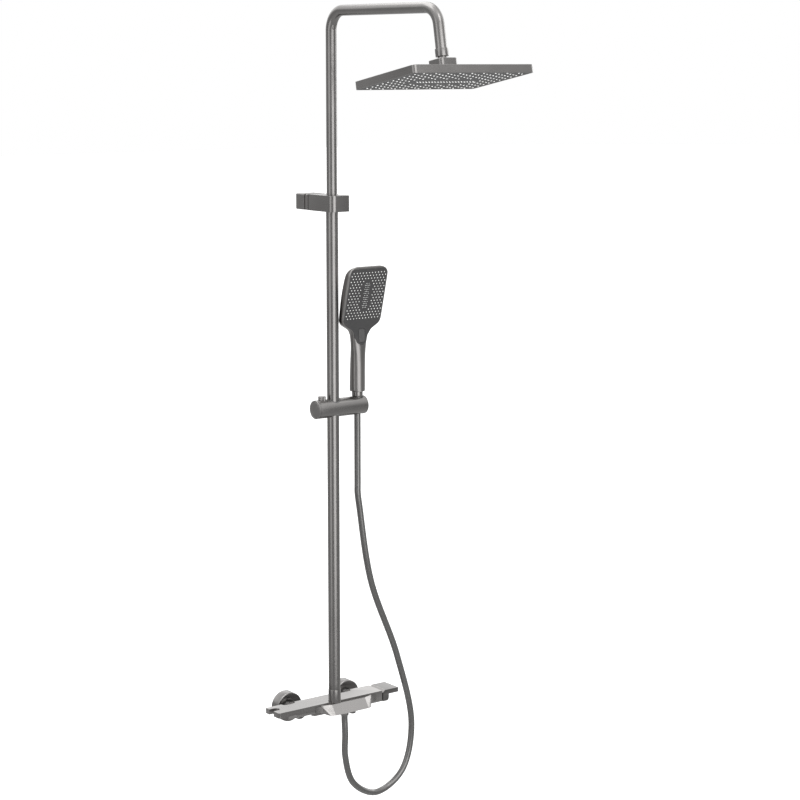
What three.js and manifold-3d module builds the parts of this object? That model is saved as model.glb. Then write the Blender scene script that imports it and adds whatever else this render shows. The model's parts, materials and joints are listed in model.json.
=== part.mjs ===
// A rainfall shower column: shelf mixer with a waterfall spout, telescopic riser, overhead
// rain head on a ball joint, and a hand shower in a sliding holder with its hose.
//
// Millimetres. The origin is on the wall, midway between the two water inlets.
// +X runs right along the wall, -Y comes out into the room, +Z is up.

import * as THREE from "three";
import { ConvexGeometry } from "three/addons/geometries/ConvexGeometry.js";
import { mergeVertices } from "three/addons/utils/BufferGeometryUtils.js";
import Module from "manifold-3d";

const wasm = await Module();
wasm.setup();

// ---------------------------------------------------------------- driving dimensions

// Fits
const REST = 0.3; // gap between two pieces that are fixed to each other
const RUN = 0.4; // gap between two pieces that slide or turn

// Where the riser stands
const RISER_X = -10;
const RISER_Y = -97;

// Inlets
const INLET_SPACING = 150;
const ROSETTE_DIAMETER = 63;
const ROSETTE_DEPTH = 23.6;
const ROSETTE_WALL = 2.5;
const UNION_NUT_DIAMETER = 33;
const UNION_NUT_BACK = -34;
const UNION_TUBE_DIAMETER = 21;
const UNION_BORE = 13;
const UNION_INTO_WALL = 18;

// Shelf
const SHELF_LENGTH = 310;
const SHELF_TOP = 21;
const SHELF_THICKNESS = 11.5;
const SHELF_FRONT = -102;
const SHELF_BACK = -52;
const SLOT_WIDTH = 16;
const SLOT_DEPTH = 19;
const SLOT_Y = -73.5;
const NUT_RECESS_DEPTH = 13; // from the back edge, under the plate
const NUT_RECESS_ROOF = 17.3;
const NOTCH_DEPTH = 9.5; // finger notches in the back edge
const NOTCH_WIDTH = 32;
const NOTCH_X = [-100, 45];

// Mixer body under the shelf
const BODY_LEFT = -112;
const BODY_RIGHT = 112;
const BODY_BACK = -64.5;
const BODY_STEP = -48; // the body is shallow left of here and deep right of it
const BODY_ROUND = 6;
const SHALLOW_FRONT_Z = 3.5; // bottom edge of the front, left of the step
const DEEP_FRONT_Z = -2.5;
const INLET_BORE_DEPTH = 71; // out from the wall
const CARTRIDGE_DIAMETER = 12;
const CARTRIDGE_Y = -80;
const CARTRIDGE_Z = 2.5;

// Waterfall spout
const SPOUT_X = 17;
const SPOUT_TOP_Z = 17.5;
const SPOUT_TOP_Y = -109.8;
const SPOUT_LIP_Y = -124.5;
const SPOUT_LIP_Z = -2.5;
const SPOUT_FACE_WIDTH = 86;
const SPOUT_SHOULDER_WIDTH = 130;
const SPOUT_LIP_WIDTH = 104;
const SPOUT_MOUTH_WIDTH = 76;
const SPOUT_MOUTH_GAP = 6;
const SPOUT_MOUTH_SETBACK = 6.5;

// Lever at the right end
const LEVER_GAP = 2;
const LEVER_LENGTH = 41;
const LEVER_THICKNESS = 10;
const HUB_LENGTH = 16;
const HUB_BOTTOM = -3.5;
const LEVER_CHAMFER = 8;

// Hose and diverter under the body
const HOSE_DIAMETER = 13.8;
const HOSE_X = 17;
const HOSE_Y = -95;
const DIVERTER_X = 38;
const DIVERTER_Y = -95;

// Riser
const LOWER_TUBE_DIAMETER = 25;
const UPPER_TUBE_DIAMETER = 22;
const TUBE_WALL = 1.2;
const FOOT_NUT_TOP = 47;
const FOOT_NUT_DIAMETER = 26.2;
const BRACKET_Z = 1074.5;
const BRACKET_HEIGHT = 33;
const BRACKET_WIDTH = 46;
const BRACKET_FRONT = -128;
const BRACKET_CORNER = 12;
const WALL_BLOCK_DEPTH = 28.8;
const BRACKET_NECK_DEPTH = 16.8;

// Overhead arm
const ARM_Z = 1461;
const ARM_REACH = 313; // straight stretch and first bend, riser to the start of the last bend
const BEND_RADIUS = 40;
const ARM_DROOP = 10.2; // degrees the head leans out from level
const TUBE_INSERTED = 250; // upper tube hidden in the lower one
const DROP_LENGTH = 45;

// Rain head
const HEAD_WIDTH = 285;
const HEAD_LENGTH = 187;
const HEAD_THICKNESS = 15.7;
const HEAD_CORNER = 7;
const HEAD_WALL = 2.4;
const FACE_THICKNESS = 3;
const BOSS_WIDTH = 42;
const BOSS_HEIGHT = 26;
const COLLAR_DIAMETER = 25.4;
const COLLAR_LENGTH = 15;
const BALL_DIAMETER = 26;

// Hand shower holder
const HOLDER_Z = 651;
const HOLDER_DIAMETER = 39;
const HOLDER_LEFT = -56;
const HOLDER_END = 16; // from the middle of the socket to the right end of the bar
const BUTTON_X = -38;
const BUTTON_DIAMETER = 16;
const BUTTON_TRAVEL = 3;

// Hand shower
const HANDLE_WIDTH = 31;
const HANDLE_ABOVE_HOLDER = 10.5;
const PADDLE_WIDTH = 97;
const PADDLE_GAP = 1; // between the parked hand shower and the riser
const HANDSET_HEIGHT = 258;
const FACE_LEAN = 12; // degrees the spray face leans out over the user
const FACE_WIDTH = 90;
const FACE_HEIGHT = 106;
const FACE_RISE = 198; // middle of the spray face above the bottom of the handle
const FACE_OUT = 32.6; // middle of the spray face out from the line of the socket

// What the sizes above give
const SOCKET_X = RISER_X + LOWER_TUBE_DIAMETER / 2 + PADDLE_GAP + PADDLE_WIDTH / 2;
const HOLDER_RIGHT = SOCKET_X + HOLDER_END;

// Hose, as it hangs: [right of the origin, height] from the mixer round to the holder
const HOSE_HANG = [
  [17, -60],
  [17, -108],
  [38, -172],
  [99, -206],
  [168, -172],
  [195, -75],
  [156, 90],
  [86, 268],
  [57, 430],
  [52, 465],
];
const HOSE_SPLIT = 480; // height where the hanging loop ends and the straight stretch begins

// ---------------------------------------------------------------- small tools

const COLOURS = {
  metal: 0x6f6e6d,
  dark: 0x3a3a3b,
  plastic: 0x8a8a88,
  rubber: 0x222222,
  brass: 0xb8974f,
  steel: 0xa8a9aa,
};
const MATERIALS = Object.fromEntries(
  Object.entries(COLOURS).map(([name, color]) => [
    name,
    new THREE.MeshStandardMaterial({ color, name }),
  ]),
);

const column = new THREE.Group();
column.name = "rainfall_shower_column";

/** Adds one named piece to the column. */
function piece(name, geometry, material = "metal") {
  const mesh = new THREE.Mesh(geometryOf(solid(geometry)), MATERIALS[material]);
  mesh.name = name;
  column.add(mesh);
}

/** The solid that a closed geometry bounds. */
function solid(geometry) {
  const bare = new THREE.BufferGeometry();
  const source = geometry.index ? geometry.toNonIndexed() : geometry;
  bare.setAttribute("position", source.getAttribute("position"));
  const merged = mergeVertices(bare, 1e-4);
  const corners = merged.index.array;
  const triVerts = [];
  for (let i = 0; i < corners.length; i += 3) {
    const [a, b, c] = corners.slice(i, i + 3);
    if (a !== b && b !== c && c !== a) triVerts.push(a, b, c);
  }
  const mesh = new wasm.Mesh({
    numProp: 3,
    vertProperties: merged.attributes.position.array,
    triVerts: new Uint32Array(triVerts),
  });
  return new wasm.Manifold(mesh);
}

/** The geometry of a solid. */
function geometryOf(shape) {
  const mesh = shape.getMesh();
  const geometry = new THREE.BufferGeometry();
  geometry.setAttribute("position", new THREE.BufferAttribute(mesh.vertProperties, 3));
  geometry.setIndex(new THREE.BufferAttribute(mesh.triVerts, 1));
  return geometry;
}

/** The first geometry with all the others cut away. */
function cut(base, ...tools) {
  const left = tools.reduce((shape, tool) => shape.subtract(solid(tool)), solid(base));
  return geometryOf(left);
}

/** All the geometries joined into one. */
function join(base, ...others) {
  const whole = others.reduce((shape, other) => shape.add(solid(other)), solid(base));
  return geometryOf(whole);
}

/** What two geometries have in common. */
function common(a, b) {
  return geometryOf(solid(a).intersect(solid(b)));
}

/** A block between two corners. */
function block(x0, x1, y0, y1, z0, z1) {
  const geometry = new THREE.BoxGeometry(
    Math.abs(x1 - x0),
    Math.abs(y1 - y0),
    Math.abs(z1 - z0),
  );
  return geometry.translate((x0 + x1) / 2, (y0 + y1) / 2, (z0 + z1) / 2);
}

/** Turns a geometry made round +Z so that it points right, "x", or out of the wall, "out". */
function along(axis, geometry) {
  return axis === "x" ? geometry.rotateY(Math.PI / 2) : geometry.rotateX(Math.PI / 2);
}

/** A turned piece round +Z from a closed profile of [radius, height] points. */
function turned(profile, sides = 24) {
  const points = [...profile, profile[0]].map(([r, z]) => new THREE.Vector2(r, z));
  return new THREE.LatheGeometry(points, sides).rotateX(Math.PI / 2);
}

/** A solid rod round +Z between two heights. */
function rod(diameter, z0, z1, sides = 24) {
  const r = diameter / 2;
  const points = [[0, z0], [r, z0], [r, z1], [0, z1]].map(([x, z]) => new THREE.Vector2(x, z));
  return new THREE.LatheGeometry(points, sides).rotateX(Math.PI / 2);
}

/** A ring or tube round +Z between two heights. */
function ring(outer, inner, z0, z1, sides = 24) {
  const a = inner / 2;
  const b = outer / 2;
  return turned([[a, z0], [b, z0], [b, z1], [a, z1]], sides);
}

/** A flat outline of [u, v] points, drawn out from w0 to w1 along the named axis. */
function drawn(axis, outline, w0, w1) {
  const shape = Array.isArray(outline)
    ? new THREE.Shape(outline.map(([u, v]) => new THREE.Vector2(u, v)))
    : outline;
  const options = { depth: w1 - w0, bevelEnabled: false, curveSegments: 4 };
  const geometry = new THREE.ExtrudeGeometry(shape, options).translate(0, 0, w0);
  // u, v become y, z along X; z, x along Y; x, y along Z
  if (axis === "x") return geometry.applyMatrix4(new THREE.Matrix4().set(
    0, 0, 1, 0, 1, 0, 0, 0, 0, 1, 0, 0, 0, 0, 0, 1));
  if (axis === "y") return geometry.applyMatrix4(new THREE.Matrix4().set(
    0, 1, 0, 0, 0, 0, 1, 0, 1, 0, 0, 0, 0, 0, 0, 1));
  return geometry;
}

/** A rectangle with round corners about its own middle. */
function roundRect(width, height, radius) {
  const x = width / 2;
  const y = height / 2;
  const shape = new THREE.Shape();
  shape.moveTo(-x + radius, -y);
  shape.lineTo(x - radius, -y);
  shape.absarc(x - radius, -y + radius, radius, -Math.PI / 2, 0, false);
  shape.lineTo(x, y - radius);
  shape.absarc(x - radius, y - radius, radius, 0, Math.PI / 2, false);
  shape.lineTo(-x + radius, y);
  shape.absarc(-x + radius, y - radius, radius, Math.PI / 2, Math.PI, false);
  shape.lineTo(-x, -y + radius);
  shape.absarc(-x + radius, -y + radius, radius, Math.PI, Math.PI * 1.5, false);
  return shape;
}

/** A path through stations, with one step of an extrusion between each two. */
class Stations extends THREE.Curve {
  constructor(points) {
    super();
    this.points = points;
  }

  getPoint(t, target = new THREE.Vector3()) {
    const at = t * (this.points.length - 1);
    const i = Math.min(Math.floor(at), this.points.length - 2);
    return target.lerpVectors(this.points[i], this.points[i + 1], at - i);
  }

  getPointAt(t, target) {
    return this.getPoint(t, target);
  }

  getTangentAt(t, target = new THREE.Vector3()) {
    const last = this.points.length - 1;
    const i = Math.round(t * last);
    const here = this.points[i];
    const before = this.points[Math.max(i - 1, 0)];
    const after = this.points[Math.min(i + 1, last)];
    const into = here.clone().sub(before).normalize();
    const out = after.clone().sub(here).normalize();
    return target.copy(into).add(out).normalize();
  }
}

/** A round tube or cord along a list of stations. */
function swept(stations, outer, inner, sides) {
  const shape = new THREE.Shape();
  const circle = (r) =>
    Array.from({ length: sides }, (_, i) => {
      const angle = (2 * Math.PI * i) / sides;
      return new THREE.Vector2(r * Math.cos(angle), r * Math.sin(angle));
    });
  shape.setFromPoints(circle(outer / 2));
  if (inner) shape.holes.push(new THREE.Path().setFromPoints(circle(inner / 2).reverse()));
  return new THREE.ExtrudeGeometry(shape, {
    steps: stations.length - 1,
    extrudePath: new Stations(stations),
    bevelEnabled: false,
  });
}

// ---------------------------------------------------------------- inlets

const bodyTop = SHELF_TOP - SHELF_THICKNESS - REST;

for (const [side, x] of [["left", -INLET_SPACING / 2], ["right", INLET_SPACING / 2]]) {
  const place = (geometry) => along("out", geometry).translate(x, 0, 0);
  const tube = UNION_TUBE_DIAMETER;
  // the union passes through the wall, carries the rosette and is held by the nut
  const nutFront = BODY_BACK + REST;
  piece(
    `${side}_inlet_union`,
    place(turned([
      [UNION_BORE / 2, -UNION_INTO_WALL],
      [tube / 2, -UNION_INTO_WALL],
      [tube / 2, -UNION_NUT_BACK + 6],
      [tube / 2 + 2.5, -UNION_NUT_BACK + 6],
      [tube / 2 + 2.5, -nutFront - 4],
      [UNION_BORE / 2, -nutFront - 4],
    ])),
    "brass",
  );
  piece(
    `${side}_rosette`,
    place(turned([
      [ROSETTE_DIAMETER / 2 - ROSETTE_WALL, 0],
      [ROSETTE_DIAMETER / 2, 0],
      [ROSETTE_DIAMETER / 2, ROSETTE_DEPTH - 1],
      [ROSETTE_DIAMETER / 2 - 1, ROSETTE_DEPTH],
      [tube / 2 + REST, ROSETTE_DEPTH],
      [tube / 2 + REST, ROSETTE_DEPTH - ROSETTE_WALL],
      [ROSETTE_DIAMETER / 2 - ROSETTE_WALL, ROSETTE_DEPTH - ROSETTE_WALL],
    ], 36)),
  );
  piece(
    `${side}_union_nut`,
    place(turned([
      [tube / 2 + REST, -UNION_NUT_BACK],
      [UNION_NUT_DIAMETER / 2 - 1, -UNION_NUT_BACK],
      [UNION_NUT_DIAMETER / 2, -UNION_NUT_BACK + 1],
      [UNION_NUT_DIAMETER / 2, -nutFront],
      [tube / 2 + 2.5 + REST, -nutFront],
      [tube / 2 + 2.5 + REST, -UNION_NUT_BACK + 6 - REST],
      [tube / 2 + REST, -UNION_NUT_BACK + 6 - REST],
    ], 24)),
  );
  piece(
    `${side}_inlet_washer`,
    place(ring(tube, UNION_BORE, -nutFront - 3.7, -nutFront - 0.3)),
    "rubber",
  );
}

// ---------------------------------------------------------------- mixer body and shelf

const shelfLeft = -SHELF_LENGTH / 2;
const footHole = rod(FOOT_NUT_DIAMETER + 2 * RUN, 0, 60, 32).translate(RISER_X, RISER_Y, 0);
const spigotHole = rod(21 + 2 * REST, -2, 60).translate(RISER_X, RISER_Y, 0);

const bodyFront = SHELF_FRONT + REST;
const shallowBody = drawn(
  "x",
  [
    [bodyFront, bodyTop],
    [bodyFront, SHALLOW_FRONT_Z],
    [-78, -6.5],
    [BODY_BACK, -11.5],
    [BODY_BACK, bodyTop],
  ],
  BODY_LEFT,
  BODY_STEP,
);
const deepBody = drawn(
  "x",
  [
    [bodyFront, bodyTop],
    [bodyFront, DEEP_FRONT_Z],
    [-78, -11.5],
    [BODY_BACK, -14],
    [BODY_BACK, bodyTop],
  ],
  BODY_STEP,
  BODY_RIGHT,
);
// the left end of the shallow part turns up in a quarter round
const endBlock = block(BODY_LEFT - 5, BODY_LEFT + BODY_ROUND, -110, 0, -30, SHALLOW_FRONT_Z + BODY_ROUND);
const endRound = drawn(
  "y",
  roundRect(2 * BODY_ROUND, 2 * BODY_ROUND, BODY_ROUND - 0.01),
  -115,
  5,
).translate(BODY_LEFT + BODY_ROUND, 0, SHALLOW_FRONT_Z + BODY_ROUND);
const inletHoles = [-1, 1].map((s) =>
  along("out", rod(UNION_BORE, 60, INLET_BORE_DEPTH, 24)).translate((s * INLET_SPACING) / 2, 0, 0),
);
piece(
  "mixer_body",
  cut(
    join(cut(shallowBody, cut(endBlock, endRound)), deepBody),
    ...inletHoles,
    along("x", rod(CARTRIDGE_DIAMETER + 2 * REST, BODY_RIGHT - 34, BODY_RIGHT + 5, 24))
      .translate(0, CARTRIDGE_Y, CARTRIDGE_Z),
    rod(13, -20, 2, 20).translate(HOSE_X, HOSE_Y, 0),
    rod(7, -20, 2, 16).translate(DIVERTER_X, DIVERTER_Y, 0),
  ),
);

const shelfOutline = new THREE.Shape();
shelfOutline.moveTo(shelfLeft + 5, SHELF_FRONT);
shelfOutline.lineTo(BODY_RIGHT, SHELF_FRONT);
shelfOutline.lineTo(BODY_RIGHT, SHELF_BACK);
shelfOutline.lineTo(shelfLeft, SHELF_BACK);
shelfOutline.lineTo(shelfLeft, SLOT_Y + SLOT_WIDTH / 2);
shelfOutline.lineTo(shelfLeft + SLOT_DEPTH - SLOT_WIDTH / 2, SLOT_Y + SLOT_WIDTH / 2);
shelfOutline.absarc(
  shelfLeft + SLOT_DEPTH - SLOT_WIDTH / 2, SLOT_Y, SLOT_WIDTH / 2, Math.PI / 2, -Math.PI / 2, true,
);
shelfOutline.lineTo(shelfLeft, SLOT_Y - SLOT_WIDTH / 2);
shelfOutline.lineTo(shelfLeft, SHELF_FRONT + 5);
shelfOutline.absarc(shelfLeft + 5, SHELF_FRONT + 5, 5, Math.PI, Math.PI * 1.5, false);
const nutRecesses = [-1, 1].map((s) =>
  drawn("z", roundRect(UNION_NUT_DIAMETER + 5, 2 * NUT_RECESS_DEPTH, 8), -20, NUT_RECESS_ROOF)
    .translate((s * INLET_SPACING) / 2, SHELF_BACK, 0),
);
const notches = NOTCH_X.map((x) =>
  drawn("z", roundRect(NOTCH_WIDTH, 2 * NOTCH_DEPTH, NOTCH_DEPTH - 0.5), -20, 60)
    .translate(x, SHELF_BACK, 0),
);
piece(
  "shelf_plate",
  cut(
    drawn("z", shelfOutline, SHELF_TOP - SHELF_THICKNESS, SHELF_TOP),
    footHole,
    ...nutRecesses,
    ...notches,
  ),
);

// ---------------------------------------------------------------- waterfall spout

const v = (x, y, z) => new THREE.Vector3(SPOUT_X + x, y, z);
const spoutBack = SHELF_FRONT - REST;
const spoutCorners = [-1, 1].flatMap((s) => [
  v((s * SPOUT_SHOULDER_WIDTH) / 2, spoutBack, SPOUT_TOP_Z),
  v((s * SPOUT_SHOULDER_WIDTH) / 2, spoutBack - 2, SPOUT_TOP_Z - 1),
  v((s * SPOUT_FACE_WIDTH) / 2, SPOUT_TOP_Y, SPOUT_TOP_Z),
  v((s * SPOUT_FACE_WIDTH) / 2, SPOUT_LIP_Y, SPOUT_LIP_Z),
  v((s * SPOUT_LIP_WIDTH) / 2, SPOUT_LIP_Y + 4, SPOUT_LIP_Z - 0.6),
  v((s * SPOUT_LIP_WIDTH) / 2, spoutBack, SPOUT_LIP_Z - 2.5),
  v((s * SPOUT_SHOULDER_WIDTH) / 2, spoutBack, SPOUT_LIP_Z + 5),
]);
const mouthFront = SPOUT_LIP_Y + SPOUT_MOUTH_SETBACK;
const mouthBack = mouthFront + SPOUT_MOUTH_GAP;
const mouth = block(
  SPOUT_X - SPOUT_MOUTH_WIDTH / 2, SPOUT_X + SPOUT_MOUTH_WIDTH / 2,
  mouthFront, mouthBack, -12, SPOUT_LIP_Z + 5,
);
piece("spout_shell", cut(new ConvexGeometry(spoutCorners), mouth, spigotHole));
const slats = Array.from({ length: 9 }, (_, i) => {
  const pitch = (SPOUT_MOUTH_WIDTH - 4) / 9;
  const x0 = SPOUT_X - SPOUT_MOUTH_WIDTH / 2 + 2 + i * pitch + 0.8;
  return block(x0, x0 + pitch - 1.6, mouthFront + 1.2, mouthBack - 1.2, -12, 12);
});
piece(
  "spout_flow_guide",
  cut(
    block(
      SPOUT_X - SPOUT_MOUTH_WIDTH / 2 + REST, SPOUT_X + SPOUT_MOUTH_WIDTH / 2 - REST,
      mouthFront + REST, mouthBack - REST, SPOUT_LIP_Z + 0.4, SPOUT_LIP_Z + 5 - REST,
    ),
    ...slats,
  ),
  "dark",
);

// ---------------------------------------------------------------- cartridge and lever

const shaft = (geometry) => along("x", geometry).translate(0, CARTRIDGE_Y, CARTRIDGE_Z);
piece(
  "cartridge",
  shaft(turned([
    [2, BODY_RIGHT - 33],
    [CARTRIDGE_DIAMETER / 2, BODY_RIGHT - 33],
    [CARTRIDGE_DIAMETER / 2, BODY_RIGHT - 6],
    [3.4, BODY_RIGHT - 6],
    [3.4, BODY_RIGHT - 16],
    [2, BODY_RIGHT - 16],
  ], 24)),
  "plastic",
);
piece(
  "cartridge_nut",
  shaft(ring(CARTRIDGE_DIAMETER, 7, BODY_RIGHT - 5.7, BODY_RIGHT - 0.5, 24)),
  "brass",
);
piece(
  "cartridge_stem",
  shaft(rod(6, BODY_RIGHT - 15.6, BODY_RIGHT + LEVER_GAP + 7, 16)),
  "steel",
);

const leverLeft = BODY_RIGHT + LEVER_GAP;
const leverRight = leverLeft + LEVER_LENGTH;
const leverSide = [
  [SHELF_TOP - 3, leverLeft],
  [SHELF_TOP, leverLeft + LEVER_CHAMFER],
  [SHELF_TOP, leverRight],
  [SHELF_TOP - LEVER_THICKNESS, leverRight],
  [SHELF_TOP - LEVER_THICKNESS, leverLeft + HUB_LENGTH],
  [HUB_BOTTOM + 6, leverLeft + HUB_LENGTH],
  [HUB_BOTTOM + 2, leverLeft + HUB_LENGTH - 1.5],
  [HUB_BOTTOM, leverLeft + HUB_LENGTH - 5],
  [HUB_BOTTOM, leverLeft],
];
piece(
  "lever",
  cut(
    drawn("y", leverSide, SHELF_FRONT, SHELF_BACK),
    block(leverLeft - 5, leverRight + 5, BODY_BACK, 0, -20, SHELF_TOP - LEVER_THICKNESS),
    shaft(rod(9.6, leverLeft - 5, leverLeft + 11, 20)),
    shaft(rod(4.8, leverLeft, leverLeft + LEVER_LENGTH + 5, 16)),
  ),
);
piece(
  "lever_screw",
  shaft(rod(4.2, leverLeft + 11.2, leverLeft + HUB_LENGTH - 0.5, 16)),
  "steel",
);

// ---------------------------------------------------------------- hose outlet, diverter

piece(
  "hose_outlet",
  ring(12.4, 8, -12.6, 1.6, 20).translate(HOSE_X, HOSE_Y, 0),
  "brass",
);
piece(
  "hose_lower_nut",
  turned([
    [HOSE_DIAMETER / 2 + REST, -17],
    [HOSE_DIAMETER / 2 + 1.3, -17],
    [9, -15.5],
    [9, -10.5],
    [6.5, -10.5],
    [6.5, -12.9],
    [HOSE_DIAMETER / 2 + REST, -12.9],
  ], 24).translate(HOSE_X, HOSE_Y, 0),
);
piece(
  "diverter_stem",
  rod(6.2, -8.7, 1.6, 16).translate(DIVERTER_X, DIVERTER_Y, 0),
  "steel",
);
piece(
  "diverter_knob",
  turned([[0, -16], [6.5, -16], [7, -15.5], [7, -9.5], [6.5, -9], [0, -9]], 24)
    .translate(DIVERTER_X, DIVERTER_Y, 0),
);

// ---------------------------------------------------------------- riser and wall bracket

const onRiser = (geometry) => geometry.translate(RISER_X, RISER_Y, 0);
const lowerBore = LOWER_TUBE_DIAMETER - 2 * TUBE_WALL;
piece(
  "riser_spigot",
  onRiser(ring(21, 14, bodyTop + REST, FOOT_NUT_TOP + 14)),
  "brass",
);
piece(
  "riser_foot_nut",
  onRiser(turned([
    [21 / 2 + REST, SPOUT_TOP_Z + REST],
    [FOOT_NUT_DIAMETER / 2, SPOUT_TOP_Z + REST],
    [FOOT_NUT_DIAMETER / 2, FOOT_NUT_TOP - 0.6],
    [FOOT_NUT_DIAMETER / 2 - 0.6, FOOT_NUT_TOP],
    [21 / 2 + REST, FOOT_NUT_TOP],
  ], 32)),
);
piece(
  "riser_foot_seal",
  onRiser(ring(lowerBore - 0.4, 21.4, FOOT_NUT_TOP + 4, FOOT_NUT_TOP + 8)),
  "rubber",
);
const lowerTop = BRACKET_Z + 3;
piece(
  "riser_lower_tube",
  onRiser(ring(LOWER_TUBE_DIAMETER, lowerBore, FOOT_NUT_TOP + REST, lowerTop, 32)),
);
piece(
  "telescope_bush",
  onRiser(ring(LOWER_TUBE_DIAMETER, lowerBore, lowerTop + REST, BRACKET_Z + 14, 32)),
  "plastic",
);

const half = BRACKET_WIDTH / 2;
const bracketLeft = RISER_X - half;
const bracketRight = RISER_X + half;
const neckFront = -WALL_BLOCK_DEPTH - BRACKET_NECK_DEPTH;
const bracketOutline = new THREE.Shape();
bracketOutline.moveTo(bracketLeft, neckFront - REST);
bracketOutline.lineTo(bracketLeft, BRACKET_FRONT + BRACKET_CORNER);
bracketOutline.absarc(
  bracketLeft + BRACKET_CORNER, BRACKET_FRONT + BRACKET_CORNER, BRACKET_CORNER,
  Math.PI, Math.PI * 1.5, false,
);
bracketOutline.lineTo(bracketRight - 4, BRACKET_FRONT);
bracketOutline.absarc(bracketRight - 4, BRACKET_FRONT + 4, 4, -Math.PI / 2, 0, false);
bracketOutline.lineTo(bracketRight, neckFront - REST);
const bracketLow = BRACKET_Z - BRACKET_HEIGHT / 2;
const bracketHigh = BRACKET_Z + BRACKET_HEIGHT / 2;
const boltHole = along("out", rod(6.6, 20, 72, 16)).translate(RISER_X, 0, BRACKET_Z);
const grubHole = rod(5.6, bracketHigh - 8, bracketHigh + 5, 16).translate(RISER_X, -64, 0);
piece(
  "bracket_arm",
  cut(
    drawn("z", bracketOutline, bracketLow, bracketHigh),
    onRiser(rod(LOWER_TUBE_DIAMETER + 2 * REST, bracketLow - 5, bracketHigh + 5, 32)),
    boltHole,
    grubHole,
  ),
);
piece("bracket_grub_screw",
  rod(5, bracketHigh - 7.6, bracketHigh - 0.4, 16).translate(RISER_X, -64, 0), "steel");
piece(
  "bracket_neck",
  cut(
    block(bracketLeft + 3, bracketRight - 3, neckFront, -WALL_BLOCK_DEPTH - REST,
      bracketLow + 3, bracketHigh - 3),
    boltHole,
  ),
  "dark",
);
piece(
  "bracket_wall_block",
  cut(
    block(bracketLeft, bracketRight, -WALL_BLOCK_DEPTH, 0, bracketLow, bracketHigh),
    boltHole,
  ),
);
piece(
  "bracket_bolt",
  along("out", rod(6, 20.4, 71.6, 16)).translate(RISER_X, 0, BRACKET_Z),
  "steel",
);

// ---------------------------------------------------------------- overhead arm

const droop = THREE.MathUtils.degToRad(ARM_DROOP);
const at = (y, z) => new THREE.Vector3(RISER_X, y, z);
const armStart = RISER_Y - ARM_REACH;
const armStations = [at(RISER_Y, lowerTop - TUBE_INSERTED)];
const bendSteps = 8;
for (let i = 0; i <= bendSteps; i++) {
  const turn = (i / bendSteps) * (Math.PI / 2);
  armStations.push(at(
    RISER_Y - BEND_RADIUS * (1 - Math.cos(turn)),
    ARM_Z - BEND_RADIUS * (1 - Math.sin(turn)),
  ));
}
for (let i = 0; i <= bendSteps; i++) {
  const turn = (i / bendSteps) * (Math.PI / 2 - droop);
  armStations.push(at(
    armStart - BEND_RADIUS * Math.sin(turn),
    ARM_Z - BEND_RADIUS * (1 - Math.cos(turn)),
  ));
}
const dropTop = armStations.at(-1).clone();
const dropWay = new THREE.Vector3(0, -Math.sin(droop), -Math.cos(droop));
armStations.push(dropTop.clone().addScaledVector(dropWay, DROP_LENGTH + 9));
piece(
  "overhead_arm",
  swept(armStations, UPPER_TUBE_DIAMETER, UPPER_TUBE_DIAMETER - 2 * TUBE_WALL, 20),
);
piece(
  "telescope_seal",
  onRiser(ring(
    UPPER_TUBE_DIAMETER - 2 * TUBE_WALL - 2 * REST, 14,
    lowerTop - TUBE_INSERTED + 4, lowerTop - TUBE_INSERTED + 10,
  )),
  "rubber",
);

// Everything below hangs on the leaning end of the arm, so it is drawn upright with the end
// of the last bend at the origin, and then leaned out.
const hung = (geometry) => geometry.rotateX(-droop).translate(RISER_X, dropTop.y, dropTop.z);

const collarLow = -DROP_LENGTH - COLLAR_LENGTH;
const ballZ = collarLow - 18;
const neckRadius = 8.6;
const ballR = BALL_DIAMETER / 2;
const ballTurn = (r, from, to, steps) =>
  Array.from({ length: steps + 1 }, (_, i) => {
    const a = THREE.MathUtils.degToRad(from + ((to - from) * i) / steps);
    return [r * Math.cos(a), ballZ + r * Math.sin(a)];
  });
piece(
  "arm_collar",
  hung(turned([
    [UPPER_TUBE_DIAMETER / 2 + REST, -DROP_LENGTH],
    [COLLAR_DIAMETER / 2 - 0.5, -DROP_LENGTH],
    [COLLAR_DIAMETER / 2, -DROP_LENGTH - 0.5],
    [COLLAR_DIAMETER / 2, collarLow + 0.5],
    [COLLAR_DIAMETER / 2 - 0.5, collarLow],
    [neckRadius + REST, collarLow],
    [neckRadius + REST, -DROP_LENGTH - 9.5],
    [UPPER_TUBE_DIAMETER / 2 + REST, -DROP_LENGTH - 9.5],
  ].reverse(), 24)),
);
piece(
  "ball_stud",
  hung(turned([
    [4, ballZ - 9.2],
    ...ballTurn(ballR, -45, 46, 7),
    [neckRadius, collarLow - 7],
    [neckRadius, collarLow + 4],
    [4, collarLow + 4],
  ], 24)),
  "brass",
);
const seatRadius = ballR + 3;
piece(
  "ball_seat",
  hung(turned([
    ...ballTurn(seatRadius, -38, 20, 5),
    ...ballTurn(ballR + RUN, 24, -42, 5),
  ], 24)),
  "plastic",
);

// ---------------------------------------------------------------- rain head

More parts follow.
